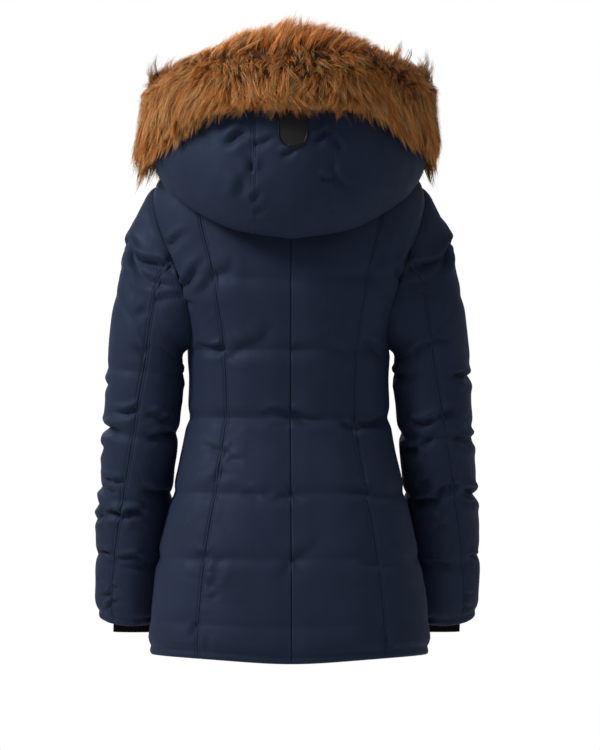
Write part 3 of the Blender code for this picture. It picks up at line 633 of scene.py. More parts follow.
class Relief:
    """What lies on a panel's grid of stitch-level points: distances, and the parts of its height.
    side is 1 on the wearer's left, as the grid is, and -1 for the other side's panel."""

    def __init__(self, side, base, share):
        width = lengths_along(base, 1)[:, -1:]
        self.where = base * (side, 1, 1)
        self.along = lengths_along(base, 0)
        self.from_first, self.from_last = share * width, (1 - share) * width
        self.nearest = np.minimum(self.from_first, self.from_last)

    def filling(self, lumps, pucker, seed):
        """The filling's lumps, and the puckers beside both seams."""
        folds = puckers(self.along, self.from_first, seed) \
            + puckers(self.along, self.from_last, seed + 10)
        return lumpy(self.where, lumps) + pucker * folds

    def sewn(self, height, creased, kinds):
        """The whole height, drawn down at the seams of these kinds."""
        dip_first, filled_first = seam_height(self.from_first, kinds[0])
        dip_last, filled_last = seam_height(self.from_last, kinds[1])
        return np.maximum(CREASE_FLOOR, height * filled_first * filled_last + creased
                          - dip_first - dip_last)


def quilting(base, row):
    """Each point's nearest quilting line, its distance from that, and one row's length there."""
    line = np.round(row)
    row_length = np.linalg.norm(np.gradient(base, axis=0), axis=-1) \
        / np.abs(np.gradient(row, axis=0))
    return line, abs(row - line) * row_length, row_length


def hemmed(height, creased, distance, roll):
    """Height and creases at a distance from a hem: its edge is rolled, as high as roll."""
    across = distance / HEM_ROLL
    rolled = roll * np.sqrt(np.clip(1 - (2 * across - 1) ** 2, 0, 1))
    beyond = distance - HEM_ROLL
    height = np.where(across < 1, rolled, height * quarter_round(beyond / SEAM_ROUND))
    return height, creased * ease(beyond / CREASE_CLEAR)


def sewn_cloth(name, side, base, normal, under, over):
    """A panel's wall, from under its surface to over it. Gives its outer points and their normals,
    on the panel's own side of the coat."""
    flip = np.array([side, 1, 1])
    inner, outer = ((base + normal * lift[..., None]) * flip for lift in (under, over))
    made = wall(f"{name}_cloth", inner, outer, "navy_taffeta", "navy_lining")
    stated(made, name, base)
    return outer, normal * flip


def run_on(cloth, places):
    """A line for stitching: the points and normals of a cloth at those places of its grid."""
    return tuple(part[places] for part in cloth)


# ---------------------------------------------------------------- body

def torso(angle, row):
    """The body's stitch-level surface, angle degrees round from the centre back."""
    ring = row_at(TORSO, row)
    side, back = turned(angle)
    depth = np.where(back > 0, ring.back_y - ring.widest_y, ring.widest_y - ring.front_y)
    end_z = np.where(back > 0, ring.back_z, ring.front_z)
    reach = ((abs(side) / ring.half_width) ** BODY_FULLNESS
             + (abs(back) / depth) ** BODY_FULLNESS) ** (-1 / BODY_FULLNESS)
    height = ring.side_z + (end_z - ring.side_z) * back * back
    return points(reach * side, ring.widest_y + reach * back, height)


def torso_normal(angle, row):
    return surface_normal(torso, angle, row, 0, NECK_ROW, 0.5, 0.02)


def torso_angle_at(x, row, front):
    """The angle at which the body's ring is x from the middle, in front or behind."""
    ring = row_at(TORSO, row)
    depth = ring.front_y - ring.widest_y if front else ring.back_y - ring.widest_y
    reach = (1 - (abs(x) / ring.half_width) ** BODY_FULLNESS) ** (1 / BODY_FULLNESS)
    return np.degrees(np.arctan2(x, depth * reach))


def armhole_row(turn):
    """The body's row at the armhole's edge; turn is 0 at the shoulder and 90 behind."""
    return ARMHOLE_MIDDLE_ROW + (SHOULDER_ROW - ARMPIT_ROW) / 2 * turned(turn)[1]


def armhole_angle(turn):
    side, up = turned(turn)
    cut = np.where(side > 0, ARMHOLE_BACK_CUT, ARMHOLE_FRONT_CUT)
    return 90 - cut * side * (1 - ARMHOLE_FALL * up)


def side_edge_angle(row, front):
    """The outer edge of a back or front panel: side seam, armhole, then shoulder seam."""
    up = (row - ARMHOLE_MIDDLE_ROW) / (SHOULDER_ROW - ARMHOLE_MIDDLE_ROW)
    turn = np.degrees(np.arccos(np.clip(up, -1, 1)))
    at_armhole = (row > ARMPIT_ROW) & (row < SHOULDER_ROW)
    return np.where(at_armhole, armhole_angle(-turn if front else turn), 90.0)


def body_rows(fine):
    """Rows of a body grid: close along the hem, even below the armhole, and close at its ends."""
    low = np.linspace(HEM_ROWS[-1], ARMPIT_ROW, 200 if fine else 74)[1:-1]
    around = armhole_row(np.arange(180, -1, -1.6 if fine else -4.0))
    high = np.linspace(SHOULDER_ROW, NECK_ROW, 26 if fine else 16)[1:]
    return np.concatenate([HEM_ROWS, low, around, high])


def seam_lap(angle, row):
    """The lap of two sewn edges, in degrees round the body."""
    return np.degrees(SEAM_LAP / np.linalg.norm(torso(angle, row)[..., :2], axis=-1))


def panel_edges(panel, row):
    """First and last angle of a body panel on the wearer's left, with its sewn edges' lap."""
    princess = torso_angle_at(row_at(TORSO, row).princess_x, row, front=False)
    first, last = {
        "back": (np.zeros_like(row), princess),
        "side_back": (princess, side_edge_angle(row, front=False)),
        "front": (side_edge_angle(row, front=True),
                  torso_angle_at(PLACKET_HALF_WIDTH, row, front=True)),
    }[panel]
    return first - seam_lap(first, row), last + seam_lap(last, row)


def body_creases(panel):
    """The body's creases, or for a front the same ones on its own side, a little weaker."""
    if panel != "front":
        return BODY_CREASES
    return [crease._replace(x=-crease.x, end_x=-crease.end_x, depth=crease.depth * 0.8)
            for crease in BODY_CREASES]


def body_height(panel, side, base, share, row):
    """How far the shell stands above the stitch level on a body panel's grid."""
    relief = Relief(side, base, share)
    line, from_line, _ = quilting(base, row)
    deep = BODY_LINE_MIDDLE \
        + (1 - BODY_LINE_MIDDLE) * bell(relief.nearest, BODY_LINE_NEAR_SEAM, 1)
    deep = deep * (1 + lumpy(relief.where, BODY_LINE_CHANGE))
    deep = deep * row_at(BODY_LINES, line).strength
    height = BODY_PUFF * (1 - deep * bell(from_line, LINE_HALF_WIDTH))
    height += CHANNEL_SWELL * channel(row % 1) * np.minimum(1, 0.4 + 0.2 * row)
    height += relief.filling(BODY_LUMPS, BODY_PUCKER, 21 + 2 * side)

    creased = pressed(relief.where[..., 0], relief.where[..., 2], body_creases(panel))
    creased = creased * (0.35 + 0.45 * ease(relief.nearest / SEAM_CLEAR))
    if panel == "front":
        creased = creased * ease(relief.from_first / SIDE_SEAM_CLEAR)

    far_from_hem = (line > 0) * 1.0
    height, creased = hemmed(height, creased, from_line + far_from_hem, BODY_HEM_HEIGHT)
    return relief.sewn(height, creased, PANEL_SEAMS[panel])


def body_panel(name, panel, side):
    """A back, side back or front panel of the wearer's left (side 1) or right (side -1). Gives
    the lines of its stitching, as the other panels' functions do."""
    shown = panel != "front"
    rows = body_rows(shown)
    first, last = panel_edges(panel, rows)
    step = GRID_STEP if shown else FRONT_GRID_STEP
    share, row, angle = panel_grid(torso, first, last, rows, step)
    height = body_height(panel, side, torso(angle, row), share, row)
    if panel == "front":
        under_placket = np.linspace(0, 1, 5)[1:]
        zip_edge = torso_angle_at(ZIP_HALF_WIDTH + SEAM_GAP, rows, front=True)[:, None]
        edge = angle[:, -1:]
        angle = np.concatenate([angle, edge + (zip_edge - edge) * under_placket], 1)
        height = np.concatenate([height, np.zeros((len(rows), len(under_placket)))], 1)
        row = np.repeat(rows[:, None], angle.shape[1], 1)
    base = torso(angle, row)
    hem_share = ease(lengths_along(base, 0) / (2 * EDGE_ROUND))
    under = -SHELL_WALL * (0.55 + 0.45 * hem_share)
    cloth = sewn_cloth(name, side, base, torso_normal(angle, row), under, height)
    ends = {"back": [LAST], "side_back": [FIRST], "front": []}[panel]
    return [run_on(cloth, np.s_[2:, stitch_column(share, end)]) for end in ends] \
        + [run_on(cloth, HEM_STITCH_ROW)]


def strip_level(xs, rows, height):
    """Points down the centre front, at a height over the stitch-level surface."""
    x, row = np.broadcast_arrays(xs, rows[:, None])
    angle = torso_angle_at(x, row, front=True)
    normal = torso_normal(angle, row)
    return torso(angle, row) + normal * np.asarray(height)[..., None], normal


# ---------------------------------------------------------------- sleeves and cuffs

def armhole_frame(turn):
    """Points of the armhole's inner edge, the body's normals there, and the way into the hole."""
    def edge(at):
        return torso(armhole_angle(at), armhole_row(at))

    normal = torso_normal(armhole_angle(turn), armhole_row(turn))
    along = unit(edge(turn + 1) - edge(turn - 1))
    return edge(turn) - normal * SHELL_WALL, normal, unit(np.cross(along, normal))


def arm_ring(turn, row):
    """Stitch-level surface of the sleeve below its head, square to the arm, and the arm's axis."""
    ring = row_at(SLEEVE, row)
    ahead = row_at(SLEEVE, np.minimum(row + 0.05, SLEEVE_END_ROW))
    behind = row_at(SLEEVE, np.maximum(row - 0.05, SLEEVE_TOP_ROW))
    axis = unit(points(ahead.x - behind.x, ahead.y - behind.y, ahead.z - behind.z))
    back = np.array([0.0, 1.0, 0.0])
    back = unit(back - axis * dot(axis, back))
    out = np.cross(axis, back)
    out = out * np.sign(out[..., :1])
    back_share, out_share = turned(turn)
    made = points(ring.x, ring.y, ring.z) + out * (ring.half_x * out_share)[..., None] \
        + back * (ring.half_y * back_share)[..., None]
    return made, axis


def sleeve_tube(turn, row):
    """The sleeve's plain inside below its head."""
    ring = row_at(SLEEVE, row)
    point = arm_ring(turn, row)[0]
    return point + unit(points(ring.x, ring.y, ring.z) - point) * SHELL_WALL


def sleeve_head_length(turn):
    top = np.full_like(turn, SLEEVE_TOP_ROW)
    return np.linalg.norm(arm_ring(turn, top)[0] - armhole_frame(turn)[0], axis=-1)


def cap_square(turn):
    """How nearly square to the armhole's edge the head leaves it: 0 at the shoulder, later 1."""
    return ease(from_zero(turn) / CAP_SPREAD)[..., None]


def sleeve_inner(turn, row):
    """The sleeve's plain inside: its head is a Bezier curve from the armhole to the arm."""
    turn, row = np.broadcast_arrays(np.asarray(turn, float), np.asarray(row, float))
    start, normal, into = armhole_frame(turn)
    top_side = turned(turn)[1][..., None]
    lift = math.pi / 4 * (1 - top_side)
    square = cap_square(turn)
    shoulder_way = armhole_frame(np.zeros(1))[2][0]
    way = unit(shoulder_way * (1 - square) + into * square)
    clear = (SHELL_WALL + ARMPIT_GAP) * np.sin(lift) / dot(way, into)
    start = start + into * (SEAM_GAP + clear + SHOULDER_GAP * (1 - square))
    leave = normal * np.sin(lift) + way * np.cos(lift)
    top = np.full_like(turn, SLEEVE_TOP_ROW)
    end, axis = sleeve_tube(turn, top), arm_ring(turn, top)[1]
    length = np.linalg.norm(end - start, axis=-1, keepdims=True)
    leave_reach = length * (0.36 - 0.15 * top_side)
    meet_reach = length * (0.47 + 0.07 * top_side)
    t = ((np.clip(row, 0, SLEEVE_TOP_ROW) / SLEEVE_TOP_ROW) ** CAP_EASE)[..., None]
    head = ((1 - t) ** 3 * start + 3 * t * (1 - t) ** 2 * (start + leave * leave_reach)
            + 3 * t * t * (1 - t) * (end - axis * meet_reach) + t ** 3 * end)
    tube = sleeve_tube(turn, np.maximum(row, SLEEVE_TOP_ROW))
    return np.where((row >= SLEEVE_TOP_ROW)[..., None], tube, head)


def sleeve_normal(turn, row):
    """The sleeve's normals; at the shoulder its edge lies flush with the body's."""
    normal = surface_normal(sleeve_inner, turn, row, 0, SLEEVE_END_ROW, 1.0, 0.03)
    flush = (1 - cap_square(turn)) * np.clip(1 - row / 0.1, 0, 1)[..., None]
    return unit(armhole_frame(turn)[1] * flush + normal * (1 - flush))


def arm_creases(side):
    """The sleeve's creases on its surface: those behind, and in front the other sleeve's."""
    shown, other = (LEFT_ARM_CREASES, RIGHT_ARM_CREASES)[::side]
    hidden = [crease._replace(turn=-crease.turn, end_turn=-crease.end_turn,
                              z=crease.z - 0.022, end_z=crease.end_z - 0.018) for crease in other]
    hidden = [crease for crease in hidden if abs(crease.turn) > 40]
    return [crease._replace(turn=math.radians(crease.turn) * ARM_RADIUS,
                            end_turn=math.radians(crease.end_turn) * ARM_RADIUS)
            for crease in shown + hidden]


def sleeve_height(side, base, share, turn, row):
    """How far the shell stands above the wall's stitch level on a sleeve panel's grid."""
    relief = Relief(side, base, share)
    full = np.minimum(1, sleeve_head_length(turn) / FULL_CHANNEL)
    full = full + (1 - full) * ease((row / SLEEVE_TOP_ROW - 0.25) / 0.75)

    line, from_line, row_length = quilting(base, row)
    deep = row_at(SLEEVE_LINES, line).strength * (1 + lumpy(relief.where, SLEEVE_LINE_CHANGE))
    height = SLEEVE_PUFF * (1 - deep * bell(from_line, 0.8 * LINE_HALF_WIDTH))
    height += CHANNEL_SWELL * channel(row % 1) * ease((row - 1) / 1.5)
    height += relief.filling(SLEEVE_LUMPS, SLEEVE_PUCKER, 41 + 2 * side)

    creased = pressed(np.radians(turn) * ARM_RADIUS, base[..., 2], arm_creases(side),
                      wrap=2 * math.pi * ARM_RADIUS)
    creased = creased * (0.4 + 0.6 * ease(relief.nearest / SEAM_CLEAR))
    outline_share = LEFT_OUTLINE_SHARE if side > 0 else RIGHT_OUTLINE_SHARE
    from_outline = 90 - abs(90 - from_zero(turn))
    creased = creased * (outline_share + (1 - outline_share) * ease((from_outline - 6) / 30))

    roll = SLEEVE_HEM_HEIGHT * (1 + lumpy(relief.where, SLEEVE_HEM_CHANGE))
    height, creased = hemmed(height, creased, (SLEEVE_END_ROW - row) * row_length, roll)
    from_armhole = row * row_length
    height = full * height * quarter_round(from_armhole / SEAM_ROUND)
    creased = full * creased * ease(from_armhole / CREASE_CLEAR)
    return relief.sewn(height, creased, (TOP_STITCHED, TOP_STITCHED))


def sleeve_panel(name, side, outer_panel):
    """The sleeve's outer or under panel, of the wearer's left (side 1) or right (side -1)."""
    head = np.linspace(0, 1, 104) ** 1.25 * SLEEVE_TOP_ROW
    tube = np.linspace(SLEEVE_TOP_ROW, SLEEVE_END_ROW - 0.18, 164)[1:]
    rows = np.concatenate([head, tube, SLEEVE_END_ROW - SLEEVE_HEM_ROWS])
    seam = row_at(SLEEVE_SEAM, rows)
    first, last = seam.front_turn, seam.back_turn
    if not outer_panel:
        first, last = last, first + 360
    lap = np.degrees(SEAM_LAP / row_at(SLEEVE, np.maximum(rows, SLEEVE_TOP_ROW)).half_x)
    share, row, turn = panel_grid(sleeve_inner, first - lap, last + lap, rows, GRID_STEP)
    base = sleeve_inner(turn, row)
    height = sleeve_height(side, base, share, turn, row)
    lengths = lengths_along(base, 0)
    end_share = ease((lengths[-1:] - lengths) / (2 * EDGE_ROUND))
    cloth = sewn_cloth(name, side, base, sleeve_normal(turn, row),
                       0.45 * SHELL_WALL * (1 - end_share), SHELL_WALL + height)
    column = stitch_column(share, LAST if outer_panel else FIRST)
    return [run_on(cloth, np.s_[4:, column]), run_on(cloth, SLEEVE_STITCH_ROW)]


def cuff_point(turn, row, depth):
    """The ribbed cuff, from the inside of the sleeve's mouth to the wrist."""
    end = SLEEVE[-1]
    axis = arm_ring(np.zeros(1), np.full(1, float(SLEEVE_END_ROW)))[1][0]
    ring = row_at(CUFF, row)
    back_share, out_share = turned(turn)
    depth = np.broadcast_to(depth, turn.shape)
    wrist = np.array([end.x, end.y, end.z]) + axis * ring.z_below_end[..., None]
    wrist = wrist + points(CUFF_SHIFT + (CUFF_HALF_X - depth) * out_share,
                           (CUFF_HALF_Y - depth) * back_share, 0 * depth)
    channel_length = SLEEVE[-2].z - end.z
    sleeve_row = np.minimum(SLEEVE_END_ROW + ring.z_below_end / channel_length, SLEEVE_END_ROW)
    mouth = sleeve_inner(turn, sleeve_row)
    mouth = mouth - sleeve_normal(turn, sleeve_row) * (CUFF_GAP + depth)[..., None]
    share = ring.sleeve_share[..., None]
    return wrist * (1 - share) + mouth * share


def build_cuff(word, side):
    """A knitted cuff: lengthwise ribs, loose folds, and a rounded end inside the sleeve."""
    turns = np.linspace(0, 360, CUFF_RIBS * 4 + 1)
    rows = np.concatenate([[0, 0.02, 0.05, CUFF_END_ROW], np.linspace(0.15, 3, 10)])
    turn, row = np.meshgrid(turns, rows)
    rib = np.cos(np.radians(turn) * CUFF_RIBS)
    end = quarter_round(row / CUFF_END_ROW)
    relief = CUFF_LIFT + CUFF_RIB * (rib - 1) * end - CUFF_END_DROP * (1 - end)
    base = cuff_point(turn, row, np.zeros_like(turn))
    outward = unit(base - cuff_point(turn, row, np.full_like(turn, CUFF_WALL)))
    sag = lumpy(base * (side, 1, 1), CUFF_FOLDS)
    outer = base + outward * (relief + np.minimum(sag, 0))[..., None]
    inner = base - outward * (CUFF_WALL - CUFF_END_THINNING * (1 - end))[..., None]
    flip = np.array([side, 1, 1])
    made = wall(f"cuff_{word}_ribbing", inner * flip, outer * flip, "black_rib_knit", ring=True)
    stated(made, f"cuff_{word}", base)


# ---------------------------------------------------------------- hood

def hood_profile(angle):
    """The hood's section there, shell side, from the neck seam to its edge: the points' distances
    along it, and (out, z) of each."""
    section = row_at(HOOD, abs(angle))

    def on_coat(row, lift):
        place, normal = torso(abs(angle), row), torso_normal(abs(angle), row)
        place = place + normal * (BODY_PUFF * channel(row % 1) + lift)[..., None]
        side, back = turned(abs(angle))
        return place[..., 0] * side + place[..., 1] * back, place[..., 2]

    neck = np.full_like(section.leave_row, NECK_ROW)
    flat = [
        on_coat(neck, HOOD_NECK_GAP),
        on_coat((neck + section.leave_row) / 2, HOOD_MIDDLE_LIFT),
        on_coat(section.leave_row, HOOD_LEAVE_LIFT),
        (section.bottom_out, section.bottom_z),
        (section.bulge_out, section.bulge_z),
        (section.edge_out, section.edge_z),
    ]
    profile = np.stack([np.stack(pair, -1) for pair in flat], -2)
    steps = np.linalg.norm(np.diff(profile, axis=-2), axis=-1)
    distances = np.concatenate([np.zeros_like(steps[..., :1]), np.cumsum(steps, -1)], -1)
    return distances, profile


def hood_surface(angle, share):
    """The hood's stitch-level surface: share 0 at the neck seam, 1 at its edge."""
    angle, share = np.broadcast_arrays(np.asarray(angle, float), np.asarray(share, float))
    distances, profile = hood_profile(angle)
    place = smooth(distances, profile, distances[..., -1] * share)
    side, back = turned(angle)
    return points(place[..., 0] * side, place[..., 0] * back, place[..., 1])


def hood_normal(angle, share):
    return surface_normal(hood_surface, angle, share, 0, 1, 0.5, 0.01)


def hood_angle_at(x, angle, share):
    """The angle at which the hood is x from the middle, as far out as it is at the given angle."""
    place = hood_surface(np.full_like(share, angle), share)
    return np.degrees(np.arcsin(x / np.linalg.norm(place[..., :2], axis=-1)))


def hood_seam_angle(share):
    """Half the angle that the centre panel spans."""
    x = HOOD_SEAM_NECK_X + (HOOD_SEAM_X - HOOD_SEAM_NECK_X) * np.minimum(1, 2 * share)
    return hood_angle_at(x, HOOD_SEAM_ANGLE, share)


def hood_height(side, base, share, along, last_kind):
    """How far the shell stands above the stitch level on a hood panel's grid; along is 0 at the
    neck and 1 at the hood's edge. Its under side lies plain on the back."""
    relief = Relief(side, base, share)
    height = HOOD_PUFF + relief.filling(HOOD_LUMPS, HOOD_PUCKER, 61 + side)
    height = height * quarter_round((relief.along[-1:] - relief.along) / SEAM_ROUND)
    x, y, z = np.moveaxis(relief.where, -1, 0)
    creased = HOOD_CREASE_SHARE * pressed(x, z, HOOD_CREASES) * (y > 0)
    shown = ease((along - HOOD_SHOWN_FROM) / 0.2)
    return shown * relief.sewn(height, creased, (TOP_STITCHED, last_kind))


def hood_panel(name, side, centre=False):
    """The hood's centre panel, or a side."""
    shares = np.linspace(0, 1, 106)
    seam, lap = hood_seam_angle(shares), math.degrees(SEAM_LAP / HOOD_SEAM_X)
    first, last = seam - lap, np.full_like(seam, HOOD_END_ANGLE)
    if centre:
        first, last = -(seam + lap), seam + lap
    share, along, angle = panel_grid(hood_surface, first, last, shares, HOOD_GRID_STEP, 25)
    base = hood_surface(angle, along)
    height = hood_height(side, base, share, along, TOP_STITCHED if centre else SET_IN)
    cloth = sewn_cloth(name, side, base, hood_normal(angle, along),
                       np.full_like(height, -SHELL_WALL), height)
    start = np.argmax(shares > HOOD_STITCHED_FROM)
    return [run_on(cloth, np.s_[start:, stitch_column(share, end)])
            for end in ((FIRST, LAST) if centre else (FIRST,))]


def hood_patch():
    """The bare patch: a matt field inside a raised, glossier rim, round at its lower end."""
    length = float(hood_profile(np.zeros(1))[0][0, -1])

    def place(turn, down, height):
        x = PATCH_HALF_WIDTH * np.sin(turn)
        column_height = PATCH_HEIGHT - PATCH_HALF_WIDTH * (1 - np.cos(turn))
        share = 1 - (PATCH_BELOW_EDGE + column_height * down) / length
        angle = hood_angle_at(x, 0, share)
        across = (x / HOOD_SEAM_X + 1) / 2
        lift = HOOD_PUFF * channel(across) * channel(np.maximum(0, 2 * share - 1)) + height
        return hood_surface(angle, share) + hood_normal(angle, share) * lift[..., None]

    quarter = math.pi / 2
    turns, downs = np.meshgrid(np.linspace(-quarter, quarter, 41), np.linspace(0, 1, 33))
    edge = np.minimum(PATCH_HALF_WIDTH * (1 - abs(np.sin(turns))), (1 - downs) * PATCH_HEIGHT)
    field = PATCH_THICKNESS - PATCH_FIELD_SUNK \
        - PATCH_EDGE_SUNK * (1 - ease(edge / PATCH_EDGE_WIDTH))
    bottom = place(turns, downs, LAID_GAP + 0 * turns)
    made = wall("patch_field", bottom, place(turns, downs, LAID_GAP + field), "patch_rubber")
    dressed(made, "hood_patch")

    side_down = np.linspace(0, 1, 24)
    rim_turn = np.concatenate([np.full(23, -quarter), np.linspace(-quarter, quarter, 49),
                               np.full(23, quarter)])
    rim_down = np.concatenate([side_down[:-1], np.ones(49), side_down[-2::-1]])
    path = place(rim_turn, rim_down, np.full(len(rim_turn), PATCH_THICKNESS))
    dressed(tube("patch_rim", path, PATCH_RIM_RADIUS, 8, "patch_rim"))


# ---------------------------------------------------------------- placket, zip and stitching

def build_placket():
    """The placket over the zip, top-stitched near both edges; gives its stitching lines."""
    rows = body_rows(False)
    near = PLACKET_HALF_WIDTH - PLACKET_STEPS
    xs = np.concatenate([-near, np.linspace(-0.015, 0.015, 9), near[::-1]])
    from_edge = PLACKET_HALF_WIDTH - abs(xs)
    height = PLACKET_THICKNESS * (0.35 + 0.65 * quarter_round(from_edge / 0.0012))
    height = height - 0.0007 * bell(from_edge - PLACKET_STITCH_INSET, 0.0008)
    height = np.repeat(height[None], len(rows), 0)
    base, normal = strip_level(xs, rows, LAID_GAP + 0 * height)
    ripple = lumpy(base, PLACKET_RIPPLE) * ease(from_edge / 0.006)
    outer = base + normal * (height + np.minimum(ripple, PLACKET_RIPPLE_TOP))[..., None]
    made = wall("placket_strip", base, outer, "navy_taffeta", "navy_lining")
    stated(made, "front_placket", base)
    stitched_x = PLACKET_HALF_WIDTH - PLACKET_STITCH_INSET
    return [run_on((outer, normal), np.s_[6:-3, int(np.argmin(abs(xs - x)))])
            for x in (-stitched_x, stitched_x)]


def build_zip():
    """The concealed zip, closed: two tapes and the coil's teeth between them."""
    rows = body_rows(False)
    low = -ZIP_THICKNESS - LAID_GAP
    for side, word in SIDE_WORDS.items():
        xs = side * np.linspace(ZIP_HALF_WIDTH, ZIP_TAPE_EDGE, 4)
        base, normal = strip_level(xs, rows, np.full((len(rows), 4), low + ZIP_TAPE))
        dressed(wall(f"zip_tape_{word}", base, base + normal * ZIP_TAPE, "zip_tape"),
                "front_zip")
    centre, normal = strip_level(np.zeros(1), rows, np.full((len(rows), 1), low + ZIP_COIL))
    path, facing, along = evenly(centre[:, 0], normal[:, 0], ZIP_PITCH)
    across = np.cross(along, facing)
    side = np.where(np.arange(len(path)) % 2, 1.0, -1.0)[:, None]

    mesh = bmesh.new()
    tooth = bmesh.ops.create_cube(mesh, size=2)["verts"]
    top = [vertex for vertex in tooth if vertex.co.z > 0]
    bmesh.ops.scale(mesh, verts=top, vec=(0.8, 0.7, 1))
    axes = (across * ZIP_TOOTH_HALF_WIDTH, along * ZIP_TOOTH_HALF_HEIGHT,
            facing * ZIP_TOOTH_HALF_DEPTH)
    places = path + across * side * ZIP_TOOTH_SHIFT
    dressed(repeated("zip_teeth", mesh, places, *axes, "zip_teeth"), "front_zip")


def evenly(path, normal, pitch):
    """Places at even distances along a path, with the surface's normal and the way along."""
    lengths = lengths_along(path, 0)
    count = int(lengths[-1] / pitch)
    at = (np.arange(count) + 0.5) * lengths[-1] / count

    def read(values):
        return np.stack([np.interp(at, lengths, values[:, i]) for i in range(3)], -1)

    along = unit(read(np.gradient(path, lengths, axis=0)))
    facing = read(normal)
    return read(path), unit(facing - along * dot(along, facing)), along


def stitching(name, runs):
    """Top-stitching: each stitch is a short thread that dips into the cloth at both ends."""
    stitches = [evenly(*run, STITCH_PITCH) for run in runs]
    places, facing, along = (np.concatenate(parts) for parts in zip(*stitches))
    across = np.cross(facing, along)
    mesh = bmesh.new()
    bmesh.ops.create_cone(mesh, segments=5, radius1=1, radius2=1, depth=1, cap_ends=False)
    for end in (-1, 1):
        rim = [edge for edge in mesh.edges
               if edge.is_boundary and all(vertex.co.z * end > 0 for vertex in edge.verts)]
        ends = bmesh.ops.extrude_edge_only(mesh, edges=rim)["geom"]
        tip = [item for item in ends if isinstance(item, bmesh.types.BMVert)]
        bmesh.ops.pointmerge(mesh, verts=tip, merge_co=(-1.6, 0, end))
    dressed(repeated(name, mesh, places + facing * THREAD_LIFT, facing * THREAD_RADIUS,
                     across * THREAD_RADIUS, along * STITCH_LENGTH / 2, "navy_thread"))


# ---------------------------------------------------------------- fur

def fur_frames():
    """The hood's edge every degree, and the ways out of it, up from it and along it."""
    angles = np.arange(-HOOD_END_ANGLE, HOOD_END_ANGLE + 0.1, 1.0)
    top = np.ones_like(angles)
    edge = hood_surface(angles, top)
    up = unit(edge - hood_surface(angles, top - 0.01))
    along = unit(np.gradient(edge, axis=0))
    return angles, np.concatenate([edge, hood_normal(angles, top), up, along], -1)


def frame_at(frames, angle):
    """The hood's edge at those angles, and the ways out, up and along there."""
    angles, table = frames
    frame = np.stack([np.interp(angle, angles, column) for column in table.T], -1)
    return np.split(frame, 4, axis=-1)


def fur_point(frames, angle, key, reach):
    """A place in the fur: key 0 to 9 goes over it from its inner lower edge to its outer one, and
    further keys hang below that. reach goes from its core, 0, to its outline, 1. Beyond the hood's
    ends the fur closes over."""
    inside = np.clip(angle, -HOOD_END_ANGLE, HOOD_END_ANGLE)
    edge, out, up, along = frame_at(frames, inside)
    beyond = angle - inside
    reach = reach * np.sqrt(np.clip(1 - (beyond / FUR_END_ROUND) ** 2, 0.02, 1))
    section = row_at(FUR, abs(inside))
    outline = np.array(FUR_OUTLINE)
    past = np.maximum(0, key - FUR_LAST_KEY)
    shares = smooth(np.arange(len(outline), dtype=float), outline, key - past)
    far_out = shares[:, 0] * np.where(shares[:, 0] > 0, section.outward, section.inward)
    far_up = shares[:, 1] * np.where(shares[:, 1] > 0, section.height, section.drop)
    core_out, core_up = 0.10 * section.outward, 0.22 * section.height
    go_out = core_out + (far_out - core_out) * reach
    go_up = core_up + (far_up - core_up) * reach
    hanging = ease((abs(inside) - 66) / 20) * ease((128 - abs(inside)) / 18)
    go_up = go_up - FUR_KEY_LENGTH * past - FUR_DROOP * hanging * ease((key - 6.8) / 2.2) * reach
    tuck = np.where(inside > 0, FUR_TUCK_LEFT, FUR_TUCK_RIGHT)
    go_out = go_out - tuck * hanging * ease((key - 6.2) / 2.0) * reach
    return (edge + out * go_out[:, None] + up * go_up[:, None]
            + along * (beyond * math.radians(1) * FUR_END_RADIUS)[:, None])


def fur_skin(frames):
    """The dense underfur that the hairs stand in, slotted over the hood's edge."""
    stations = np.linspace(-HOOD_END_ANGLE, HOOD_END_ANGLE, 121)
    keys = np.linspace(0, FUR_LAST_KEY, 37)
    angle, key = (part.ravel() for part in np.meshgrid(stations, keys, indexing="ij"))
    reach = FUR_SKIN_REACH * np.minimum(1, fur_fullness(angle, key))
    over = fur_point(frames, angle, key, reach).reshape(len(stations), -1, 3)
    edge, out, up, _ = (part[:, None] for part in frame_at(frames, stations))
    inner_face = -SHELL_WALL - LAID_GAP
    slot = np.array([[LAID_GAP + FUR_SLOT_FLARE, -FUR_SLOT_DEPTH], [LAID_GAP, LAID_GAP],
                     [inner_face, LAID_GAP], [inner_face - FUR_SLOT_FLARE, -FUR_SLOT_DEPTH]])
    under = edge + out * slot[:, :1] + up * slot[:, 1:]
    rings = np.concatenate([over, under, over[:, :1]], 1)
    dressed(closed_rings("fur_underfur", rings, "underfur"), "fur_trim")


def fur_fullness(angle, key):
    """The share of its envelope that the fur fills there."""
    full = np.ones_like(angle)
    for tuft in FUR_TUFTS:
        full += tuft.share * bell(angle - tuft.angle, tuft.angle_spread) \
            * bell(key - tuft.key, tuft.key_spread)
    full += 0.020 * np.sin(angle * 0.31 + 1.2) + 0.022 * np.sin(angle * 0.83 + key)
    return full


Locks = namedtuple("Locks", "angle root_key down tip_angle tip_key tip_reach")
Hairs = namedtuple("Hairs", "lock angle key down tip_angle tip_key tip_reach")


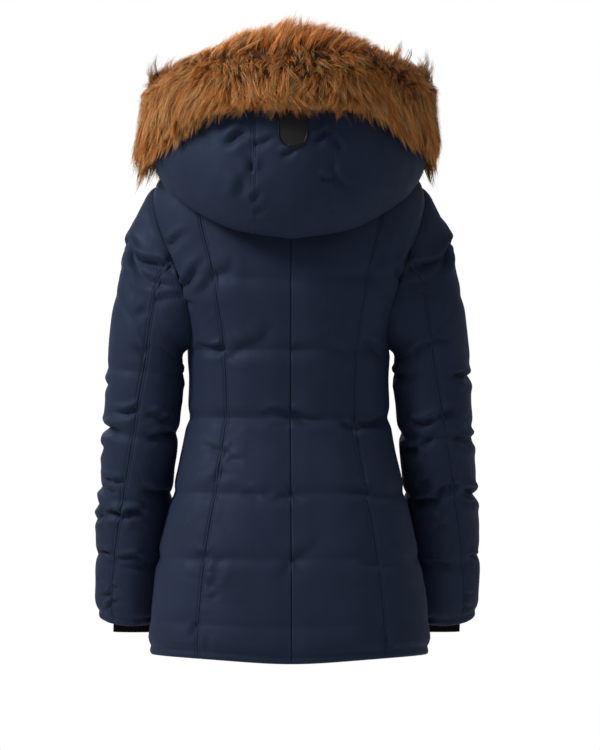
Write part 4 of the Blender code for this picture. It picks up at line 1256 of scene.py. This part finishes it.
def fur_locks(rng, count):
    """The locks: where each is rooted and where its tip lies, as (angle, key), and its reach.
    Towards the hood's ends they radiate, and at the upper corners some stand up."""
    angle = rng.uniform(-HOOD_END_ANGLE - 2, HOOD_END_ANGLE + 2, count)
    root_key = rng.uniform(0.3, 8.85, count)
    wander = 0.28 * np.sin(angle * 0.095 + 0.8) + 0.16 * np.sin(angle * 0.29)
    down = root_key > FUR_PARTING_KEY + wander + rng.normal(0, 0.20, count)
    radiating = ease((abs(angle) - 62) / 34) * (root_key < 8.2)
    run = np.where(down, rng.uniform(*RUN_DOWN, count), -rng.uniform(*RUN_UP, count))
    last_key = 9.35 + 0.65 * ease((abs(angle) - 72) / 26)
    tip_key = np.minimum(root_key + run * (1 - 0.50 * radiating), last_key)
    sway = rng.normal(0, LOCK_SWAY, count) + LOCK_SWAY * np.sin(angle * 0.17 + root_key * 1.3)
    spread = np.sign(angle) * ease(abs(angle) / 70) * rng.uniform(*SPREAD_DOWN, count)
    spread = np.where(down, spread * (1 + radiating), -rng.uniform(*SPREAD_UP, count))
    tip_reach = fur_fullness(angle, tip_key) * rng.uniform(0.86, 1.0, count)
    longer = np.where(angle > 0, LONGER_LEFT, LONGER_RIGHT)
    tip_reach = tip_reach * (1 + longer * radiating * rng.random(count))
    corner = bell(abs(angle) - CORNER_ANGLE, 13) * bell(tip_key - CORNER_KEY, 1.0)
    standing = rng.random(count) < STANDING_SHARE * corner
    tip_reach = tip_reach + standing * rng.uniform(*STANDING_REACH, count)
    return Locks(angle, root_key, down, angle + sway + spread, tip_key, tip_reach)


def hairs_in(locks, rng):
    """The hairs: each lock's are rooted round its middle and their tips draw together."""
    lock = np.repeat(np.arange(len(locks.angle)), FUR_HAIRS_IN_LOCK)
    mid = Locks(*(part[lock] for part in locks))
    count = len(lock)
    angle = mid.angle + rng.normal(0, 0.75, count)
    key = np.clip(mid.root_key + rng.normal(0, 0.11, count), 0, 9)
    gather = rng.uniform(*GATHER, count)
    tip_angle = mid.tip_angle + (angle - mid.angle) * gather + rng.normal(0, 0.22, count)
    tip_key = mid.tip_key + (key - mid.root_key) * gather + rng.normal(0, 0.06, count)
    length = rng.uniform(*HAIR_LENGTH, count)
    tip_angle, tip_key = angle + (tip_angle - angle) * length, key + (tip_key - key) * length
    tip_reach = mid.tip_reach + rng.normal(0, 0.014, count)
    stray = rng.random(count) < 0.035 + 0.05 * ease((abs(angle) - 50) / 30)
    tip_reach = np.where(stray, tip_reach + rng.uniform(*STRAY_REACH, count), tip_reach)
    tip_angle = tip_angle + np.where(stray, rng.normal(0, 3.0, count), 0)
    keep = (key > 1.4) | (rng.random(count) < 0.45)
    return Hairs(*(part[keep] for part in (
        lock, angle, key, mid.down, tip_angle, tip_key, tip_reach)))


def build_fur(frames):
    """Hairs as tapering ribbons, joined in a few meshes."""
    rng = np.random.default_rng(41)
    locks = fur_locks(rng, FUR_LOCKS)
    hairs = hairs_in(locks, rng)
    count = len(hairs.lock)

    def bend(t):
        """Out of the skin, then along the outline to the tip."""
        angle = hairs.angle + (hairs.tip_angle - hairs.angle) * t ** 1.3
        key = np.maximum(hairs.key + (hairs.tip_key - hairs.key) * t ** 1.25, -0.4)
        reach = ROOT_REACH + (hairs.tip_reach - ROOT_REACH) * (1 - (1 - t) ** 1.7)
        return fur_point(frames, angle, key, reach)

    root, middle, tip = (bend(np.full(count, t)) for t in (0.0, 0.52, 1.0))
    outward = unit(middle - fur_point(frames, hairs.angle, hairs.key, np.full(count, 0.3)))
    along = unit(tip - root)
    flat = unit(np.cross(along, outward))
    roll = rng.normal(0, 0.5, count)[:, None]
    flat = unit(flat * np.cos(roll) + np.cross(along, flat) * np.sin(roll))
    half = flat * rng.uniform(*HAIR_HALF_WIDTH, count)[:, None]
    spots = np.stack([root - half, root + half, middle - 0.85 * half, middle + 0.85 * half, tip], 1)
    ribbon = np.array([0, 1, 3, 2, 2, 3, 4])
    tints = hair_colours(rng, hairs)
    parts = FUR_MESHES
    for part in range(parts):
        chosen = np.arange(count) % parts == part
        made = joined(f"fur_hairs_{part + 1}", spots[chosen].reshape(-1, 3),
                      (np.arange(chosen.sum())[:, None] * 5 + ribbon).ravel(),
                      np.tile([4, 3], chosen.sum()), "fur_hair")
        paint = made.data.color_attributes.new("tint", "FLOAT_COLOR", "POINT")
        paint.data.foreach_set("color", tints[chosen].astype(np.float32).ravel())
        dressed(made)


def hair_colours(rng, hairs):
    """Each hair's colour at its five corners: dark at the root, partly its own darker base and
    partly painted shade, then its lock's tone, then its tip's, lighter partly as its own pale tip
    and partly as a painted highlight. The fur is mottled dark behind its parting, partly its dark
    roots and partly painted shade, and paler on its upper rim, partly its own tone and partly
    painted light from above; its upward hairs at the top middle are brightened as painted light from
    above, and its right side is browner, partly its own tone and partly painted shade away from the
    key lamp on the left."""
    count = len(hairs.lock)
    angle, down = hairs.angle, hairs.down
    tones = np.array([GOLD, AMBER, CHESTNUT, BARK, FAWN])
    lock_draw = np.random.default_rng(5).random((hairs.lock.max() + 1, 2))[hairs.lock]
    mid = (hairs.key + hairs.tip_key) / 2
    patch = np.clip(0.45 + 0.9 * np.sin(angle * 0.115 + 0.4) * np.sin(angle * 0.047 + 1.9)
                    + 0.5 * np.sin(angle * 0.37 + mid), 0, 1.3)
    # A darker band along the parting: partly the hairs' dark roots showing, partly painted shade
    # where the hair parts.
    parting = patch * bell(mid - FUR_PARTING_KEY - 0.1, 0.50)
    # The upper rim is paler, partly in the fur's own tone and partly as painted light from above.
    rim = bell(mid - RIM_KEY, 1.0) * (0.30 + 0.70 * ease(abs(angle) / 45))
    # Towards the right side the tones shift from gold to chestnut: partly the fur's own browner
    # tone, partly painted shade away from the key lamp on the left.
    lean = np.clip(angle / 120, -1, 1)
    weights = np.stack([
        np.where(down, 0.46, 0.34) * (1 + 0.4 * lean),
        np.where(down, 0.34, 0.28) * (1 + 0.2 * lean),
        np.where(down, 0.15, 0.16) * (1 - 0.3 * lean),
        0.02 + 0.50 * parting * (0.45 + 0.55 * ease(abs(angle) / 35)),
        0.08 + 0.90 * rim], 1)
    weights = np.cumsum(weights / weights.sum(1, keepdims=True), 1)
    draw = 0.50 * lock_draw[:, 0] + 0.50 * rng.random(count)
    tone = tones[np.clip((draw[:, None] > weights).sum(1), 0, 4)]
    tone = tone * rng.uniform(*TONE_CHANGE, count)[:, None]
    # Painted light: the upward hairs at the top middle are made brighter, as if lit from above.
    tone = tone * (1 + 0.55 * ~down * ease((60 - abs(angle)) / 35))[:, None]
    guard = (hairs.tip_reach > 1.02) & (abs(angle) > 40) & (lock_draw[:, 1] < 0.60)
    dark_tips = guard | (lock_draw[:, 1] < 0.04 + 0.34 * ease((abs(angle) - 58) / 30))
    pale_tips = ~dark_tips & (lock_draw[:, 1] > 0.52)
    pale = np.where((rim > 0.4)[:, None], SAND, FAWN)
    # Lighter tips: partly the hairs' own pale tips, partly a painted highlight; the dark tips are
    # the fur's own.
    tip = np.where(dark_tips[:, None], SOOT, np.where(pale_tips[:, None], pale, tone * 1.5))
    # Darker roots: partly the fur's own darker base, partly painted shade, deeper under the hanging
    # locks.
    root = tone * np.where(down, 0.26, 0.58)[:, None]
    middle = tone * 0.95 + (tip - tone) * np.where(guard, 0.75, 0.25)[:, None]
    full = np.stack([root, root, middle, middle, tip], 1)
    return np.concatenate([full, np.ones((count, 5, 1))], -1)


# ---------------------------------------------------------------- meshes

def grid_mesh(spots):
    """A bmesh grid at an array of rows of points, with each vertex's row and column."""
    rows, columns = spots.shape[:2]
    mesh = bmesh.new()
    bmesh.ops.create_grid(mesh, x_segments=columns - 1, y_segments=rows - 1, size=0.5)
    column_of = mesh.verts.layers.int.new("column")
    row_of = mesh.verts.layers.int.new("row")
    for vertex in mesh.verts:
        vertex[column_of] = round((vertex.co.x + 0.5) * (columns - 1))
        vertex[row_of] = round((vertex.co.y + 0.5) * (rows - 1))
        vertex.co = spots[vertex[row_of], vertex[column_of]]
    return mesh, row_of, column_of


def wall(name, inner, outer, shell, lining=None, ring=False):
    """A closed wall: a grid on the inner points, extruded to the outer ones. Its UV map is each
    point's place on its own cloth, in metres, so that the weave follows the panel."""
    mesh, row_of, column_of = grid_mesh(inner)
    if ring:
        bmesh.ops.remove_doubles(mesh, verts=mesh.verts, dist=SAME_PLACE)
    inside = mesh.faces[:]
    made = bmesh.ops.extrude_face_region(mesh, geom=inside, use_keep_orig=True)
    for vertex in (item for item in made["geom"] if isinstance(item, bmesh.types.BMVert)):
        vertex.co = outer[vertex[row_of], vertex[column_of]]
    if lining:
        for face in inside:
            face.material_index = 1
        bmesh.ops.dissolve_edges(mesh, edges=plainer(inside, row_of, column_of), use_verts=True)
    lay = mesh.loops.layers.uv.new("cloth")
    flat = np.stack([lengths_along(outer, 1), lengths_along(outer, 0)], -1)
    for face in mesh.faces:
        for loop in face.loops:
            loop[lay].uv = flat[loop.vert[row_of], loop.vert[column_of]]
    return finished(name, mesh, [shell] + ([lining] if lining else []))


def plainer(faces, row_of, column_of):
    """The lining's edges that come out of it, so that one point in LINING_STEP is left each way."""
    left_out = []
    for edge in {edge for face in faces for edge in face.edges}:
        if any(face.material_index != 1 for face in edge.link_faces):
            continue
        start, end = edge.verts
        line = row_of if start[row_of] == end[row_of] else column_of
        if start[line] % LINING_STEP:
            left_out.append(edge)
    return left_out


def closed_rings(name, rings, material):
    """A form through rings of points, each of which ends where it begins, closed at both ends."""
    mesh, row_of, column_of = grid_mesh(rings)
    for layer in ("row", "column"):
        mesh.verts.layers.int.remove(mesh.verts.layers.int[layer])
    bmesh.ops.remove_doubles(mesh, verts=mesh.verts, dist=SAME_PLACE)
    bmesh.ops.holes_fill(mesh, edges=[edge for edge in mesh.edges if edge.is_boundary], sides=0)
    return finished(name, mesh, [material])


def tube(name, path, radius, sides, material):
    """A round cord along a path."""
    along = unit(np.gradient(path, axis=0))
    across = unit(np.cross(along, (0.0, 0.37, 1.0)))
    upward = np.cross(across, along)
    angle = 2 * math.pi * np.arange(sides + 1)[:, None] / sides
    rings = path[:, None] + radius * (across[:, None] * np.cos(angle)
                                      + upward[:, None] * np.sin(angle))
    return closed_rings(name, rings, material)


def finished(name, mesh, materials):
    """A smooth-shaded object with outward faces."""
    bmesh.ops.recalc_face_normals(mesh, faces=mesh.faces)
    data = bpy.data.meshes.new(name)
    mesh.to_mesh(data)
    mesh.free()
    data.shade_smooth()
    data.set_sharp_from_angle(angle=math.radians(60))
    for material in materials:
        data.materials.append(bpy.data.materials[material])
    return placed(name, data)


def repeated(name, mesh, places, x_axis, y_axis, z_axis, material):
    """One small shape at every place, in the axes given there, as one joined mesh."""
    bmesh.ops.recalc_face_normals(mesh, faces=mesh.faces)
    mesh.verts.index_update()
    corners = np.array([vertex.co for vertex in mesh.verts])
    faces = [[vertex.index for vertex in face.verts] for face in mesh.faces]
    mesh.free()
    if np.linalg.det(np.stack([x_axis[0], y_axis[0], z_axis[0]])) < 0:
        faces = [face[::-1] for face in faces]
    axes = np.stack([x_axis, y_axis, z_axis], 1)
    spots = (places[:, None] + corners @ axes).reshape(-1, 3)
    corner_list = np.concatenate(faces)
    starts = np.arange(len(places))[:, None] * len(corners)
    return joined(name, spots, (starts + corner_list).ravel(),
                  np.tile([len(face) for face in faces], len(places)), material)


def joined(name, spots, corner_verts, face_sizes, material):
    """A mesh from its points, its faces' corners in a row, and how many corners each face has."""
    data = bpy.data.meshes.new(name)
    data.vertices.add(len(spots))
    data.vertices.foreach_set("co", spots.astype(np.float32).ravel())
    data.loops.add(len(corner_verts))
    data.loops.foreach_set("vertex_index", corner_verts.astype(np.int32))
    data.polygons.add(len(face_sizes))
    starts = np.concatenate([[0], np.cumsum(face_sizes)[:-1]])
    data.polygons.foreach_set("loop_start", starts.astype(np.int32))
    data.update(calc_edges=True)
    data.shade_smooth()
    data.materials.append(bpy.data.materials[material])
    return placed(name, data)


def placed(name, data):
    """A new object in the scene."""
    made = bpy.data.objects.new(name, data)
    bpy.context.scene.collection.objects.link(made)
    return made


def stated(made, node, base):
    """Puts a cloth piece on the coat in place of its solid, and works out its cut's width and
    length, which nothing uses.
    """
    dressed(made, node)
    across, along = lengths_along(base, 1)[:, -1], lengths_along(base, 0)[-1]


def dressed(made, node=None):
    """Puts a piece on the coat, in place of a solid where it names one."""
    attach(made, "root")
    if node:
        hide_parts(node)


# ---------------------------------------------------------------- finishes

class Finish:
    """A material in the making: its surface shader, and the nodes that are added to it."""

    def __init__(self, name, colour, roughness, **sockets):
        material = bpy.data.materials.new(name)
        material.use_nodes = True
        material.diffuse_color = (*colour, 1)
        self.tree = material.node_tree
        self.shader = self.tree.nodes["Principled BSDF"]
        self.shader.inputs["Base Color"].default_value = (*colour, 1)
        self.shader.inputs["Roughness"].default_value = roughness
        for socket, value in sockets.items():
            self.shader.inputs[socket.replace("_", " ")].default_value = value

    def add(self, kind, sockets=None, **values):
        node = self.tree.nodes.new(kind)
        for key, value in values.items():
            setattr(node, key, value)
        for socket, value in (sockets or {}).items():
            node.inputs[socket].default_value = value
        return node

    def link(self, start, end):
        self.tree.links.new(start, end)

    def clouds(self, scale, detail, low=0, high=1):
        """Noise on the object's own coordinates, mapped to a range."""
        place = self.add("ShaderNodeTexCoord")
        made = self.add("ShaderNodeTexNoise", {"Scale": scale, "Detail": detail})
        ranged = self.add("ShaderNodeMapRange", {"From Min": 0.3, "From Max": 0.7,
                                                 "To Min": low, "To Max": high})
        self.link(place.outputs["Object"], made.inputs["Vector"])
        self.link(made.outputs["Fac"], ranged.inputs["Value"])
        return ranged.outputs["Result"]

    def weave(self, pitch):
        """A plain weave's height on the cloth's own UV map."""
        lay = self.add("ShaderNodeUVMap", uv_map="cloth")
        waves = [self.add("ShaderNodeTexWave", {"Scale": 2 * math.pi / (20 * pitch)},
                          wave_type="BANDS", bands_direction=direction) for direction in "XY"]
        both = self.add("ShaderNodeMath", operation="MULTIPLY")
        for wave, side in zip(waves, both.inputs):
            self.link(lay.outputs["UV"], wave.inputs["Vector"])
            self.link(wave.outputs["Fac"], side)
        return both.outputs["Value"]

    def bump(self, height, strength, distance, before=None):
        made = self.add("ShaderNodeBump", {"Strength": strength, "Distance": distance})
        self.link(height, made.inputs["Height"])
        if before:
            self.link(before.outputs["Normal"], made.inputs["Normal"])
        self.link(made.outputs["Normal"], self.shader.inputs["Normal"])
        return made

    def shade(self, share, dark, light):
        """Base colour between two tones by a share."""
        mixed = self.add("ShaderNodeMix", data_type="RGBA")
        mixed.inputs[6].default_value = (*dark, 1)
        mixed.inputs[7].default_value = (*light, 1)
        self.link(share, mixed.inputs["Factor"])
        self.link(mixed.outputs[2], self.shader.inputs["Base Color"])


def make_finishes():
    taffeta = Finish("navy_taffeta", NAVY, 0.62, Sheen_Weight=0.03, Sheen_Roughness=0.45,
                     Sheen_Tint=(0.35, 0.50, 1.0, 1), Specular_IOR_Level=0.22,
                     Specular_Tint=(0.55, 0.68, 1.0, 1))
    taffeta.shade(taffeta.clouds(14, 4), *(tuple(share * part for part in NAVY)
                                           for share in (0.90, 1.10)))
    taffeta.link(taffeta.clouds(60, 3, 0.56, 0.70), taffeta.shader.inputs["Roughness"])
    slubs = taffeta.bump(taffeta.clouds(260, 4), 0.25, 0.0003)
    taffeta.bump(taffeta.weave(0.0007), 0.22, 0.0001, slubs)

    lining = Finish("navy_lining", LINING, 0.45, Sheen_Weight=0.05)
    lining.bump(lining.weave(0.0005), 0.15, 0.0001)

    Finish("navy_thread", THREAD, 0.55)
    knit = Finish("black_rib_knit", BLACK_KNIT, 0.92, Sheen_Weight=0.02, Sheen_Roughness=0.6,
                  Specular_IOR_Level=0.1)
    knit.bump(knit.weave(0.0016), 0.5, 0.0004)

    rubber = Finish("patch_rubber", RUBBER, 0.62, Specular_IOR_Level=0.2)
    rubber.bump(rubber.clouds(900, 3), 0.3, 0.0002)
    rim = Finish("patch_rim", RUBBER_RIM, 0.34, Specular_IOR_Level=0.3)
    rim.bump(rim.clouds(500, 2), 0.1, 0.0001)

    tape = Finish("zip_tape", TAPE, 0.75)
    tape.bump(tape.weave(0.0006), 0.4, 0.0001)
    Finish("zip_teeth", TEETH, 0.35)

    underfur = Finish("underfur", BARK, 0.9)
    underfur.shade(underfur.clouds(180, 5), SOOT, CHESTNUT)
    underfur.bump(underfur.clouds(420, 5), 1.0, 0.002)

    hair = Finish("fur_hair", AMBER, 0.50, Specular_IOR_Level=0.15)
    tint = hair.add("ShaderNodeAttribute", attribute_name="tint")
    hair.link(tint.outputs["Color"], hair.shader.inputs["Base Color"])


# ---------------------------------------------------------------- floor, lights and camera

def build_stage():
    """A pale round floor, a white surround whose light is softer than it looks, and two lamps."""
    floor = Finish("pale_floor", (0.80, 0.80, 0.81), 0.6)
    floor.shade(floor.clouds(3, 4), (0.78, 0.78, 0.79), (0.82, 0.82, 0.83))
    mesh = bmesh.new()
    bmesh.ops.create_circle(mesh, cap_ends=True, segments=96, radius=3.5)
    bmesh.ops.translate(mesh, verts=mesh.verts, vec=(0, 0, FLOOR_Z))
    finished("studio_floor", mesh, ["pale_floor"])

    world = bpy.data.worlds.new("studio")
    world.use_nodes = True
    nodes, links = world.node_tree.nodes, world.node_tree.links
    soft = nodes["Background"]
    soft.inputs["Color"].default_value = (1, 1, 1, 1)
    soft.inputs["Strength"].default_value = SURROUND_LIGHT
    seen = nodes.new("ShaderNodeBackground")
    seen.inputs["Color"].default_value = (1, 1, 1, 1)
    ray = nodes.new("ShaderNodeLightPath")
    either = nodes.new("ShaderNodeMixShader")
    links.new(ray.outputs["Is Camera Ray"], either.inputs["Fac"])
    links.new(soft.outputs["Background"], either.inputs[1])
    links.new(seen.outputs["Background"], either.inputs[2])
    links.new(either.outputs["Shader"], nodes["World Output"].inputs["Surface"])
    bpy.context.scene.world = world

    for lamp in LAMPS:
        light = bpy.data.lights.new(lamp.name, "AREA")
        light.energy = lamp.power
        light.size = lamp.size
        made = placed(lamp.name, light)
        made.location = (lamp.x, lamp.y, lamp.z)
        aim = Vector((0, 0, LAMP_AIM_Z)) - made.location
        made.rotation_euler = aim.to_track_quat("-Z", "Y").to_euler()


def build_camera():
    """A long lens behind the coat, turned a little towards its left side."""
    camera = bpy.data.cameras.new("camera")
    camera.sensor_width = SENSOR_WIDTH
    camera.lens = SENSOR_WIDTH * CAMERA_DISTANCE / FRAME_HEIGHT
    made = placed("camera", camera)
    turn = math.radians(CAMERA_TURN)
    made.location = (FRAME_CENTRE_X + CAMERA_DISTANCE * math.sin(turn),
                     CAMERA_DISTANCE * math.cos(turn), FRAME_CENTRE_Z)
    made.rotation_euler = (math.radians(90), 0, math.pi - turn)
    bpy.context.scene.camera = made
    bpy.context.scene.view_settings.view_transform = "Standard"


# ---------------------------------------------------------------- the coat

def build_coat():
    runs = build_placket()
    for side, word in SIDE_WORDS.items():
        for panel in ("back", "side_back", "front"):
            runs += body_panel(f"{panel}_{word}", panel, side)
        runs += sleeve_panel(f"sleeve_outer_{word}", side, True)
        runs += sleeve_panel(f"sleeve_under_{word}", side, False)
        runs += hood_panel(f"hood_{word}", side)
        build_cuff(word, side)
    runs += hood_panel("hood_centre", 1, centre=True)
    stitching("top_stitching", runs)
    hood_patch()
    build_zip()
    frames = fur_frames()
    fur_skin(frames)
    build_fur(frames)


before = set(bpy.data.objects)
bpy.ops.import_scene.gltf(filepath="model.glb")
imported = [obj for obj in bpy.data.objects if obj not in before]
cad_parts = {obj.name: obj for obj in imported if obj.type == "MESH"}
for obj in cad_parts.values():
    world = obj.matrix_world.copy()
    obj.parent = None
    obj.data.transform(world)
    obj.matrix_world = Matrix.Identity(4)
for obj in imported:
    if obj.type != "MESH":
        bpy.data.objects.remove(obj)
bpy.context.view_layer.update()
make_finishes()
build_coat()
build_stage()
build_camera()
